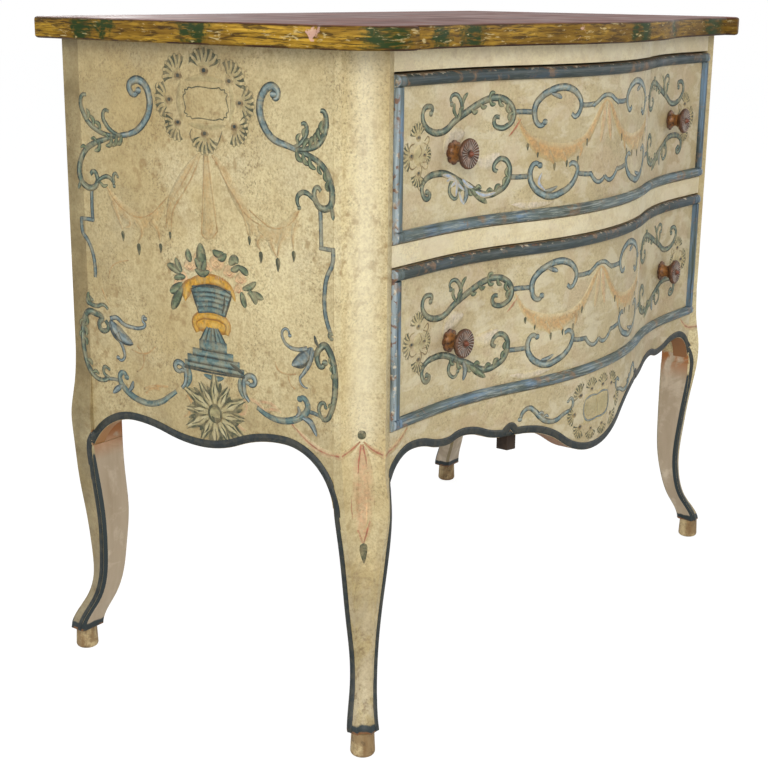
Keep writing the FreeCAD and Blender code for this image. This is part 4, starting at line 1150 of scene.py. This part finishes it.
def paint_swags(side):
    """Faint cloths hung between the scrolls, with dark tassels."""
    side.brush("wash", [(30, 700), (45, 684), (62, 664), (80, 638), (86, 606)], 15, "leaf", 1)
    side.brush("wash", [(8, 700), (-8, 682), (-26, 654), (-44, 630), (-60, 608)], 15, "leaf", 1)
    side.brush("wash", [(19, 700), (18, 660), (18, 600)], 24, "curl", 1)
    for line in (((33, 699), (46, 680), (66, 655), (84, 632), (90, 608)),
                 ((28, 698), (40, 676), (58, 652), (76, 630), (82, 602)), ((21, 699), (25, 660), (31, 606)),
                 ((17, 699), (12, 660), (5, 610)),
                 ((10, 699), (-6, 678), (-24, 652), (-44, 632), (-66, 622)),
                 ((6, 698), (-12, 668), (-34, 640), (-44, 610)),
                 ((192, 652), (178, 634), (160, 622), (140, 616), (118, 620), (98, 634), (84, 646)),
                 ((-124, 648), (-112, 632), (-98, 624), (-80, 622), (-62, 630), (-46, 640)),
                 ((32, 606), (24, 600), (14, 602), (5, 610))):
        side.brush("ochre_line", line, 3.0, "scroll", 2)
    for cloth in (((190, 648), (170, 626), (140, 611), (112, 616), (92, 632)),
                  ((-120, 644), (-104, 622), (-82, 612), (-58, 622))):
        side.brush("wash", cloth, 24, "leaf", 1)
    for fall in (((180, 632), (172, 612), (166, 598)), ((164, 618), (152, 606), (164, 600)),
                 ((142, 612), (132, 598), (139, 584)), ((116, 614), (104, 602), (101, 590)),
                 ((-50, 622), (-48, 612), (-45, 608)), ((-66, 612), (-58, 602), (-62, 594)),
                 ((-78, 608), (-82, 596), (-88, 588)), ((-100, 616), (-92, 604), (-88, 590)),
                 ((-118, 634), (-112, 614), (-112, 600))):
        side.brush("ochre_line", fall, 2.6, "scroll", 2)
        side.brush("wash", fall, 12, "tail", 1)
    for u, v, long in ((166, 590, 13), (139, 576, 15), (101, 581, 12), (84, 598, 10), (-45, 604, 11),
                       (-62, 586, 14), (-88, 580, 16), (-112, 592, 13)):
        side.tassel(u, v, long)


def paint_urn(side):
    """The urn of flowers on its stepped foot."""
    bowl = ((536, 33, 30), (530, 31, 28), (524, 29, 26), (518, 27, 23), (512, 24, 20))
    for v, left, right in bowl:
        side.brush("slate", [(17 + left, v), (17, v + 3), (17 - right, v)], 9.5, "even", 3)
        side.brush("line", [(17 + left - 3, v + 3), (17, v + 6), (17 - right + 3, v + 3)], 1.4, "leaf", 4)
    side.brush("line", [(52, 536), (36, 542), (17, 544), (0, 542), (-14, 536)], 2.4, "scroll", 5)
    side.brush("line", [(51, 535), (46, 523), (40, 508)], 2.6, "scroll", 5)
    side.brush("line", [(-14, 535), (-9, 523), (-3, 508)], 3.0, "scroll", 5)
    side.brush("line", [(-3, 533), (-2, 522), (2, 511)], 3.4, "leaf", 5)
    rim = [(62, 520), (60, 531), (51, 542), (34, 549), (16, 551), (-2, 548), (-14, 541), (-20, 529)]
    side.brush("gold", rim, 15, "leaf", 2)
    side.brush("gold", [(63, 522), (58, 537), (46, 547)], 17, "leaf", 2)
    for u in (10, 6, 2, -2):
        side.brush("red_line", [(u, 556), (u - 0.6, 552)], 1.2, "even", 5)
    side.brush("gold", [(50, 494), (18, 498), (-11, 494)], 27, "round", 2)
    neck = [(43, 484), (48, 496), (40, 504), (20, 507), (2, 505), (-7, 498), (-4, 486)]
    side.brush("gold", neck, 12, "scroll", 2)
    for top_u, foot_u in ((26, 36), (22, 27), (18, 18), (14, 9), (11, 1)):
        side.brush("slate", [(top_u, 492), ((top_u + foot_u) / 2, 483), (foot_u, 472)], 9, "curl", 3)
    for top_u, foot_u in ((29, 40), (24, 31), (16, 14), (9, -3)):
        side.brush("line", [(top_u, 491), ((top_u + foot_u) / 2, 483), (foot_u, 474)], 1.3, "even", 4)
    steps = ((469, 41, -4, 14), (459, 53, -14, 10), (450, 62, -24, 11), (443, 67, -31, 9))
    for v, back, fore, tall in steps:
        side.brush("slate", [(back, v), (18, v), (fore, v)], tall, "even", 4)
        foot = v - tall * 0.44
        side.brush("line", [(back, foot), (18, foot), (fore, foot)], 1.9, "even", 5)
    side.brush("line", [(-8, 452), (-20, 447), (-31, 441)], 5, "leaf", 5)
    side.brush("line", [(68, 437), (18, 436), (-32, 438)], 2.6, "even", 5)
    side.brush("slate", [(36, 432), (18, 429), (2, 432)], 8, "leaf", 2)
    curl = ((53, 432), (59, 430), (65, 434), (63, 440), (56, 441), (49, 436), (47, 426), (49, 416),
            (55, 409))
    stem = ((41, 437), (41, 424), (47, 411))
    for turn, middle in ((1, 19), (-1, 17)):
        side.scroll([(middle + turn * far, v) for far, v in curl], 7.6)
        side.brush("slate", [(middle + turn * far, v) for far, v in stem], 9, "leaf", 2)


def paint_flowers(side):
    """The flowers in the urn, with their leaves."""
    for u, v, size in ((52, 563, 20), (38, 574, 16), (8, 570, 24), (-12, 562, 20), (-30, 555, 18),
                       (66, 548, 18), (74, 540, 13), (-26, 543, 14), (24, 563, 18)):
        side.brush("peach", [(u - size / 2, v), (u, v + 2), (u + size / 2, v - 1)], size * 0.9, "leaf", 1)
        side.brush("red_line", [(u - size / 3, v + 3), (u, v - 3), (u + size / 3, v + 1)], 1.6, "leaf", 2)
        side.brush("ochre_line", [(u - size / 4, v - 3), (u, v + 4), (u + size / 4, v)], 1.8, "leaf", 2)
    leaves = (((91, 562), (80, 559), (68, 553), 11), ((76, 572), (72, 563), (66, 555), 10),
              ((55, 585), (54, 576), (50, 569), 11), ((34, 594), (33, 576), (32, 556), 17),
              ((43, 575), (38, 567), (34, 558), 10), ((26, 574), (29, 566), (32, 558), 9),
              ((14, 587), (6, 583), (-4, 585), 10), ((-12, 572), (-20, 579), (-27, 576), 13),
              ((-14, 566), (-22, 568), (-30, 573), 9), ((-26, 572), (-36, 567), (-42, 563), 10),
              ((-8, 585), (-2, 579), (6, 577), 9), ((-32, 545), (-44, 549), (-54, 556), 9),
              ((-40, 541), (-54, 540), (-65, 537), 10), ((-30, 542), (-33, 532), (-36, 523), 10),
              ((-42, 545), (-50, 537), (-53, 529), 10), ((88, 529), (78, 533), (66, 542), 13),
              ((85, 507), (78, 519), (66, 536), 14), ((60, 550), (70, 549), (80, 546), 9),
              ((20, 561), (32, 557), (44, 561), 10))
    for *line, width in leaves:
        side.leaf(line, width)


def paint_bell_flowers(side):
    """A bell flower at each lower corner, and thin curls."""
    side.brush("blue_leaf", [(198, 479), (189, 468), (177, 460), (157, 453)], 21, "leaf", 2)
    side.scroll([(133, 489), (136, 492), (138, 486), (134, 481), (142, 476), (156, 475), (172, 477),
                 (186, 484), (197, 481)], 6.4, "blue_leaf", "curl", 3)
    side.scroll([(186, 432), (181, 429), (174, 434), (175, 444), (180, 454), (186, 464)], 6.6, "blue_leaf",
                "curl", 3)
    side.brush("line", [(198, 479), (190, 462), (174, 452), (157, 453)], 1.3, "scroll", 4)
    side.scroll([(-104, 499), (-100, 506), (-93, 503), (-94, 493), (-102, 486), (-116, 484), (-130, 487)],
                5.6, "blue_leaf", "curl", 3)
    side.brush("blue_leaf", [(-106, 464), (-119, 471), (-131, 480), (-138, 489)], 18, "leaf", 2)
    side.scroll([(-138, 487), (-133, 470), (-123, 456), (-118, 449), (-124, 441), (-130, 440)], 7,
                "blue_leaf", "tail", 3, False)
    side.brush("line", [(-108, 463), (-122, 464), (-132, 474)], 3, "leaf", 4)
    for curl in (((150, 452), (140, 442), (142, 426), (152, 418)),
                 ((160, 446), (146, 443), (130, 446), (118, 455)),
                 ((-80, 465), (-84, 456), (-96, 452), (-112, 454)), ((-100, 450), (-104, 440), (-110, 436)),
                 ((158, 560), (176, 556), (190, 548), (196, 534)), ((210, 520), (204, 508), (198, 498))):
        side.brush("ochre_line", curl, 3.4, "scroll", 1)


def paint_lower_scrolls(side):
    """The scrollwork along a side's lower edge."""
    rear = [(206, 478), (201, 470), (207, 464), (216, 466), (217, 474), (212, 480), (224, 485), (236, 486),
            (244, 478), (249, 462), (250, 442), (246, 422), (239, 408), (228, 399), (214, 398), (205, 402)]
    side.scroll(rear, 8.4, "green", eye=False)
    side.fronds(rear, 11, -1, (0.40, 0.48, 0.56, 0.72, 0.82))
    side.fronds(rear, 9, 1, (0.44, 0.52))
    hook = [(229, 502), (234, 505), (238, 500), (230, 496), (220, 495), (208, 498), (200, 493)]
    side.scroll(hook, 6, "green")
    side.leaf([(232, 498), (236, 506), (234, 512)], 6)
    side.scroll([(204, 414), (212, 416), (214, 408), (204, 403)], 5.4, "green")
    side.strap([(214, 400), (198, 402), (184, 402)], 5.4)
    side.scroll([(172, 408), (176, 413), (183, 411), (184, 402), (178, 394), (168, 387), (150, 381),
                 (130, 380), (110, 386), (96, 395), (84, 403)], 8.6, "slate")
    side.leaf([(180, 396), (190, 390), (199, 383)], 9, "blue_leaf")
    side.leaf([(170, 389), (163, 397), (160, 405)], 7, "blue_leaf")
    front = [(-156, 474), (-150, 468), (-145, 474), (-145, 484), (-150, 491), (-156, 494), (-162, 489),
             (-167, 478), (-170, 464), (-170.5, 448), (-168, 430), (-163, 415), (-157, 407), (-150, 406)]
    side.scroll(front, 8.6, "green")
    side.fronds(front, 7, 1, (0.40, 0.47, 0.54, 0.80))
    side.brush("line", [(-148, 490), (-143, 497), (-141, 504)], 4.4, "leaf", 3)
    side.scroll([(-166, 503), (-163, 507), (-168, 509)], 5.6, "green")
    side.scroll([(-156, 421), (-153, 426), (-147, 422), (-147, 412), (-152, 405)], 5.4, "green")
    side.strap([(-152, 408), (-140, 411), (-128, 412)], 5.4)
    side.scroll([(-117, 425), (-122, 427), (-128, 422), (-128, 413), (-120, 405), (-104, 397), (-84, 394),
                 (-66, 397), (-50, 404)], 8.6, "slate")
    side.leaf([(-120, 403), (-133, 399), (-142, 384)], 9, "blue_leaf")
    side.leaf([(-110, 402), (-116, 408), (-114, 416)], 6, "blue_leaf")


ROSETTE = (19, 385)
ROSETTE_REACH = (55, 48)
ROSETTE_PETALS = 12
# The dark rim of half a petal: the turn off its middle, and the share of its reach
PETAL_RIM = ((0.26, 0.34), (0.27, 0.56), (0.10, 0.76), (0.04, 1.06))


def paint_rosette(side):
    """A sunflower with a round boss and spiky leaves, between pale swirls."""
    u, v = ROSETTE
    for swirl in (((72, 372), (62, 380), (58, 392), (66, 402)), ((50, 366), (44, 376), (48, 392)),
                  ((142, 398), (120, 404), (98, 407)), ((138, 392), (128, 400), (112, 401)),
                  ((-14, 392), (-22, 402), (-34, 404)), ((-16, 384), (-22, 374), (-32, 372)),
                  ((-34, 404), (-30, 394), (-20, 390)), ((-54, 412), (-72, 412), (-86, 404)),
                  ((-60, 402), (-76, 406), (-88, 404)), ((-24, 408), (-40, 412), (-56, 406), (-62, 398))):
        side.brush("rose_wash" if swirl[0][0] < 60 else "ochre_line", swirl, 6.5, "scroll", 1)
    for petal in range(ROSETTE_PETALS):
        heading = math.pi / 2 + 2 * math.pi * petal / ROSETTE_PETALS
        reach = 0.84 if petal % 2 else 1.0

        def at(turn, share):
            whole, far = heading + turn, reach * share
            return u + ROSETTE_REACH[0] * far * math.cos(whole), v + ROSETTE_REACH[1] * far * math.sin(whole)

        side.brush("petal", [at(0, 0.22), at(0.03, 0.62), at(0, 1.0)], 17, "leaf", 2)
        for edge in (-1, 1):
            rim = [at(edge * turn, share) for turn, share in PETAL_RIM]
            side.brush("hair", rim, 3.2, "leaf", 4)
        side.brush("hair", [at(0.04, 0.40), at(-0.04, 0.60), at(0.03, 0.84)], 2.4, "leaf", 4)
        side.brush("hair", [at(0.22, 0.86), at(0.25, 0.72), at(0.26, 0.58)], 5.2, "leaf", 4)
    ring = [(u + 10 * math.cos(a * math.pi / 4), v + 10.5 * math.sin(a * math.pi / 4)) for a in range(8)]
    side.brush("olive", [(u - 9, v), (u, v + 0.4), (u + 9, v)], 18, "even", 4)
    side.brush("hair", ring, 3.4, "even", 5, closed=True)
    side.brush("hair", [(u - 6, v - 5), (u, v - 7), (u + 6, v - 4)], 4, "leaf", 5)


def paint_wear(side):
    """A rubbed place on the ground."""
    side.brush("pale_wear", [(-128, 742), (-127, 715), (-128, 690)], 1.6, "leaf", 1)


def paint_side(name, side):
    """All the ornament of one side, as one piece."""
    panel = f"{name}_side_panel"
    names = [panel, f"front_{name}_leg", f"rear_{name}_leg"]
    joints = [corner.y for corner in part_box(panel)]
    work = Painting(f"{name}_side_ornament", Face(names, (0, 1, 0), (-side, 0, 0), SIDE_FIT, joints))
    for draw in (paint_wear, paint_swags, paint_cartouche, paint_rear_scrolls, paint_front_scrolls,
                 paint_flowers, paint_urn, paint_lower_scrolls, paint_rosette, paint_bell_flowers):
        draw(work)
    work.finish("carcass")


# Drawer fronts: u runs to the right and v up from the drawer's foot

def paint_half_drawer(front):
    """The left half of a drawer's ornament, which the right half mirrors."""
    upper = [(-327, 138), (-324, 143), (-332, 146), (-340, 144), (-344, 135), (-339, 125), (-328, 118),
             (-310, 115), (-295, 118), (-283, 125), (-270, 131), (-255, 137), (-240, 143), (-220, 149),
             (-203, 150), (-188, 145), (-179, 135), (-179, 124), (-188, 116), (-200, 114), (-210, 120),
             (-208, 127), (-201, 127)]
    front.scroll(upper, 8.4, "green")
    front.fronds(upper, 11, 1, (0.42, 0.62))
    front.fronds(upper, 11, -1, (0.50, 0.56, 0.62, 0.68, 0.74, 0.79))
    front.scroll([(-286, 146), (-288, 153), (-280, 157), (-271, 152), (-267, 142), (-274, 128)], 7.4,
                 "green", "curl")
    front.leaf([(-266, 144), (-263, 152), (-256, 158)], 6)
    front.leaf([(-276, 130), (-282, 139), (-280, 147)], 6)
    lower = [(-335, 49), (-329, 45), (-335, 41), (-344, 48), (-344, 58), (-335, 65), (-318, 68), (-300, 67),
             (-285, 62), (-270, 55), (-255, 49), (-238, 40), (-220, 35), (-203, 38), (-190, 45), (-184, 57),
             (-185, 69), (-195, 77), (-206, 74), (-210, 66), (-204, 62)]
    front.scroll(lower, 8.4, "green")
    front.fronds(lower, 11, -1, (0.36, 0.42, 0.50))
    front.fronds(lower, 11, 1, (0.54, 0.62, 0.68, 0.74, 0.79))
    front.scroll([(-272, 42), (-277, 36), (-286, 39), (-290, 47), (-282, 60)], 7, "green", "curl")
    front.leaf([(-252, 46), (-236, 35), (-221, 25)], 10, "leaf")
    front.leaf([(-262, 52), (-258, 40), (-262, 28)], 9, "blue_leaf")
    for ends in (((-179, 132), (-164, 132), (-149, 131)), ((-184, 54), (-168, 53), (-151, 53)),
                 ((-63, 136), (-46, 135), (-29, 136)), ((-68, 51), (-50, 48), (-34, 47))):
        front.strap(ends, 7)
    front.scroll([(-128, 118), (-133, 114), (-141, 117), (-145, 127), (-144, 138), (-135, 148), (-120, 155),
                  (-100, 159), (-83, 157), (-68, 149), (-61, 138), (-64, 128), (-73, 122), (-80, 126)], 9)
    front.scroll([(-135, 65), (-143, 68), (-149, 63), (-151, 52), (-145, 39), (-133, 30), (-115, 25),
                  (-98, 28), (-80, 35), (-68, 47), (-66, 58), (-75, 64), (-83, 62)], 9)
    front.leaf([(-118, 152), (-106, 149), (-99, 146)], 7, "blue_leaf")
    front.leaf([(-128, 33), (-116, 33), (-104, 37)], 6, "blue_leaf")
    front.scroll([(-34, 134), (-22, 139), (-12, 144), (0, 146)], 6, "blue", "even", 2, False)
    front.scroll([(-36, 48), (-28, 40), (-16, 35), (-6, 37), (0, 41)], 6, "blue", "even", 2, False)
    front.brush("ochre", [(-172, 126), (-160, 106), (-144, 92), (-122, 83), (-98, 81), (-74, 84), (-50, 92),
                          (-32, 108), (-12, 132), (0, 140)], 17, "leaf", 1)
    belly = [(-160, 106), (-144, 92), (-122, 82), (-98, 79), (-74, 82), (-50, 91)]
    front.brush("ochre", belly, 25, "leaf", 1)
    front.brush("rose_wash", [(-4, 136), (-8, 112), (-14, 86)], 12, "leaf", 1)
    for fall in (((-124, 80), (-116, 72), (-110, 64)), ((-98, 76), (-90, 70), (-86, 64)),
                 ((-144, 90), (-140, 84), (-139, 78)), ((-60, 86), (-58, 80), (-62, 70))):
        front.brush("ochre", fall, 14, "tail", 1)
    front.brush("red_line", [(-186, 103), (-176, 112), (-166, 124)], 4, "leaf", 1)
    for u, v, long in ((-155, 89, 9), (-139, 78, 7), (-110, 62, 10), (-87, 64, 9), (-65, 68, 9),
                       (-46, 88, 10)):
        front.tassel(u, v, long)
    paint_end_rocaille(front)


def paint_end_rocaille(front):
    """A cluster of shells and loops at the drawer's end."""
    for u, v, heading, radius in ((-352, 112, 100, 16), (-366, 92, 180, 17), (-352, 72, 258, 15),
                                  (-340, 92, 0, 12)):
        front.shell(u, v, math.radians(heading), radius)
    for loop in (((-340, 108), (-332, 112), (-334, 104), (-342, 106)),
                 ((-344, 84), (-334, 82), (-336, 76), (-346, 80)), ((-378, 94), (-384, 90), (-376, 86)),
                 ((-360, 106), (-368, 104), (-372, 98)), ((-356, 80), (-366, 78), (-372, 84)),
                 ((-350, 104), (-346, 96), (-352, 90)), ((-350, 84), (-346, 76), (-350, 66)),
                 ((-352, 66), (-354, 58), (-350, 52))):
        front.brush("eye", loop, 2.6, "scroll", 2)
    front.brush("olive_wash", [(-362, 92), (-350, 92), (-338, 92)], 26, "leaf", 1)


def paint_drawer(level):
    """A drawer's ornament. The upper one also has smears of bright blue."""
    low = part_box(f"{level}_drawer_front")[0]
    face = Face([f"{level}_drawer_front"], (1, 0, 0), (0, 1, 0), FRONT_FIT)
    work = Painting(f"{level}_drawer_ornament", face, low.z / MM)
    work.mirrored(paint_half_drawer)
    for patch, width in ((((-300, 90), (-285, 106), (-262, 112)), 26),
                         (((-240, 78), (-222, 74), (-200, 84)), 22),
                         (((-180, 20), (-150, 16), (-110, 18)), 12),
                         (((150, 40), (165, 90), (160, 140)), 22)):
        work.brush("pale_wear", patch, width, "leaf", 1)
    if level == "upper":
        for smear in (((-304, 66), (-290, 63), (-276, 58)), ((-296, 58), (-284, 60), (-270, 52)),
                      ((-288, 50), (-278, 54), (-262, 44)), ((-280, 62), (-276, 50), (-278, 38)),
                      ((-272, 44), (-268, 34), (-262, 27)), ((-266, 58), (-256, 50), (-246, 46)),
                      ((-242, 41), (-226, 35), (-206, 37)), ((-132, 56), (-137, 44), (-126, 33))):
            work.brush("bright_blue", smear, 6, "leaf", 4)
    work.finish(f"{level}_drawer")


# Apron, knees and borders

def paint_half_apron(front):
    """The left half of the apron's shells and scroll, which the right half mirrors."""
    arm = [(-163, 350), (-158, 359), (-148, 363), (-138, 357), (-129, 348), (-115, 339), (-98, 337),
           (-80, 343), (-66, 345)]
    front.scroll(arm, 7.6)
    front.fronds(arm, 9, 1, (0.36, 0.46), "blue_leaf")
    front.scroll([(-73, 358), (-66, 361), (-62, 352), (-70, 344)], 5.6, "blue")
    for u, v, heading, radius in ((-44, 360, 130, 16), (-58, 336, 185, 15), (-44, 316, 230, 15),
                                  (-16, 364, 95, 15), (-16, 308, 265, 14)):
        front.shell(u, v, math.radians(heading), radius)
    front.brush("blue_leaf", [(-32, 352), (-36, 338), (-30, 324), (-16, 320), (0, 321)], 3.4, "scroll", 2)
    front.brush("blue_leaf", [(-32, 352), (-16, 355), (0, 353)], 3.4, "scroll", 2)
    front.brush("olive_wash", [(-34, 338), (-16, 338), (0, 338)], 44, "even", 1)


def paint_apron():
    """The apron's ornament."""
    work = Painting("apron_ornament", Face(["apron"], (1, 0, 0), (0, 1, 0), FRONT_FIT))
    work.mirrored(paint_half_apron)
    work.finish("carcass")


POST_CENTRE = Vector((0.412, -0.173, 0))
KNEE_SHIFT = (-6, -9)


def paint_knee(name, side):
    """The rose drop on a front knee, hung from two swags."""
    across = Vector((-side, -1, 0)).normalized()
    names = [f"front_{name}_leg", "apron", f"{name}_side_panel"]
    face = Face(names, across, Vector((-side, 1, 0)).normalized())
    centre = Vector((side * POST_CENTRE.x, POST_CENTRE.y, 0)).dot(across) / MM
    work = Painting(f"{name}_knee_ornament", face)

    def at(points):
        return [(u + centre + KNEE_SHIFT[0], v + KNEE_SHIFT[1]) for u, v in points]

    work.brush("hair", at([(-5, 399), (0, 399), (5, 399)]), 11, "round", 2)
    work.brush("rose_wash", at([(0, 388), (0, 362), (1, 318), (2, 290), (3, 266)]), 30, "leaf", 1)
    work.brush("red_line", at([(-1, 388), (-6, 356), (-12, 314), (-5, 286), (2, 266)]), 4.2, "scroll", 2)
    work.brush("red_line", at([(1, 388), (7, 356), (13, 314), (8, 286), (3, 266)]), 3.8, "scroll", 2)
    work.brush("peach", at([(3, 330), (4, 306), (3, 284)]), 12, "leaf", 2)
    work.brush("hair", at([(3, 266), (3, 254), (4, 240)]), 10, "drop", 2)
    outer_swag = [(-2, 391), (-14, 382), (-28, 377), (-40, 376), (-55, 382), (-68, 393), (-78, 404)]
    inner_swag = [(2, 391), (12, 382), (26, 377), (38, 379), (50, 388), (60, 400)]
    for swag in (at(outer_swag), at(inner_swag)):
        work.brush("red_line", swag, 3.4, "scroll", 2)
        work.brush("rose_wash", swag, 10, "leaf", 1)
    work.finish("carcass")


BORDER_WIDTH = 10
SHANK_WIDTH = 6.4
BORDER_INSET = 0.4
# The spacing of a border's points on a lower edge and on a leg, and how far below the edge a leg's start
EDGE_STEP, SHANK_STEP = 6, 9
SIDE_DROP, FRONT_DROP = 8, 10
# An edge lies between a face that looks this much one way and a face that looks this much the other way
FACES_FRONT, FACES_OTHER, FACES_APART = 0.8, 0.45, 0.3
# How a side's border narrows down the legs: its width, and how far below the panel it keeps that width
BORDER_STEPS = ((BORDER_WIDTH, 18), (9.1, 32), (8.2, 46), (7.3, 60), (SHANK_WIDTH, 1000))


def edge_chain(name, facing, other, across, upright=False):
    """A node's edge between faces that look two ways: its (u, v), in order across, or upwards if upright."""
    piece = merged_copy(name)
    piece.normal_update()
    facing, other = Vector(facing), Vector(other)
    found = set()
    for edge in piece.edges:
        if len(edge.link_faces) != 2:
            continue
        first, second = (face.normal for face in edge.link_faces)
        for a, b in ((first, second), (second, first)):
            turned = b.dot(other)
            if a.dot(facing) > FACES_FRONT and turned > max(FACES_OTHER, a.dot(other) + FACES_APART):
                found.update(tuple(vert.co) for vert in edge.verts)
    piece.free()
    chain = sorted(found, key=lambda co: co[2 if upright else across])
    return [(co[across] / MM, co[2] / MM) for co in chain]


def thin_out(points, step):
    """Leaves out points nearer than a step to the one before."""
    kept = [points[0]]
    for point in points[1:]:
        if math.dist(point, kept[-1]) >= step:
            kept.append(point)
    return kept


def inside_line(points, gap):
    """The line moved to its left by a gap."""
    moved = []
    for index, (u, v) in enumerate(points):
        start, end = points[max(index - 1, 0)], points[min(index + 1, len(points) - 1)]
        long = math.dist(start, end)
        moved.append((u - (end[1] - start[1]) / long * gap, v + (end[0] - start[0]) / long * gap))
    return moved


def paint_side_border(name, side):
    """The dark line along a side's lower edge and down the inner edges of its legs."""
    outwards = (side, 0, 0)
    names = [f"{name}_side_panel", f"front_{name}_leg", f"rear_{name}_leg"]
    joints = [corner.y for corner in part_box(names[0])]
    work = Painting(f"{name}_side_border", Face(names, (0, 1, 0), (-side, 0, 0), joints=joints))
    line = thin_out(edge_chain(names[0], outwards, (0, 0, -1), 1), EDGE_STEP)
    shanks = []
    for leg, inner, end in ((names[1], 1, line[0]), (names[2], -1, line[-1])):
        shank = edge_chain(leg, outwards, (0, inner, 0), 1, upright=True)
        shanks.append(thin_out([(u, v) for u, v in shank if v < end[1] - SIDE_DROP], SHANK_STEP))
    for width, reach in BORDER_STEPS:
        fore = [(u, v) for u, v in shanks[0] if v > line[0][1] - reach]
        aft = [(u, v) for u, v in shanks[1] if v > line[-1][1] - reach]
        middle = inside_line(fore + line + aft[::-1], width / 2 + BORDER_INSET)
        work.brush("border", middle, width, "even", 8)
    work.finish("carcass")


def paint_front_border():
    """The dark line along the apron's lower edge and down the inner edges of the front legs."""
    names = ["apron", "front_left_leg", "front_right_leg"]
    work = Painting("front_border", Face(names, (1, 0, 0), (0, 1, 0)))
    line = thin_out(edge_chain("apron", (0, -1, 0), (0, 0, -1), 0), EDGE_STEP)
    work.brush("border", inside_line(line, BORDER_WIDTH / 2 + BORDER_INSET), BORDER_WIDTH, "even", 8)
    for name, side, end in (("left", LEFT, line[0]), ("right", RIGHT, line[-1])):
        shank = edge_chain(f"front_{name}_leg", (0, -1, 0), (-side, 0, 0), 0, upright=True)
        shank = thin_out([(u, v) for u, v in shank if v < end[1] - FRONT_DROP], SHANK_STEP)
        line = shank + line if side < 0 else line + shank[::-1]
    work.brush("border", inside_line(line, SHANK_WIDTH / 2 + BORDER_INSET), SHANK_WIDTH, "even", 7)
    work.finish("carcass")


set_camera()
set_light()
set_floor()
dress_frame()
make_top()
knob_metal = make_knob_metal()
for drawer in ("lower", "upper"):
    for hand, sign in (("left", LEFT), ("right", RIGHT)):
        make_knob(drawer, hand, sign, knob_metal)
    paint_drawer(drawer)
for hand, sign in (("left", LEFT), ("right", RIGHT)):
    paint_side(hand, sign)
    paint_knee(hand, sign)
    paint_side_border(hand, sign)
paint_apron()
paint_front_border()

bpy.context.scene.view_settings.view_transform = "Standard"
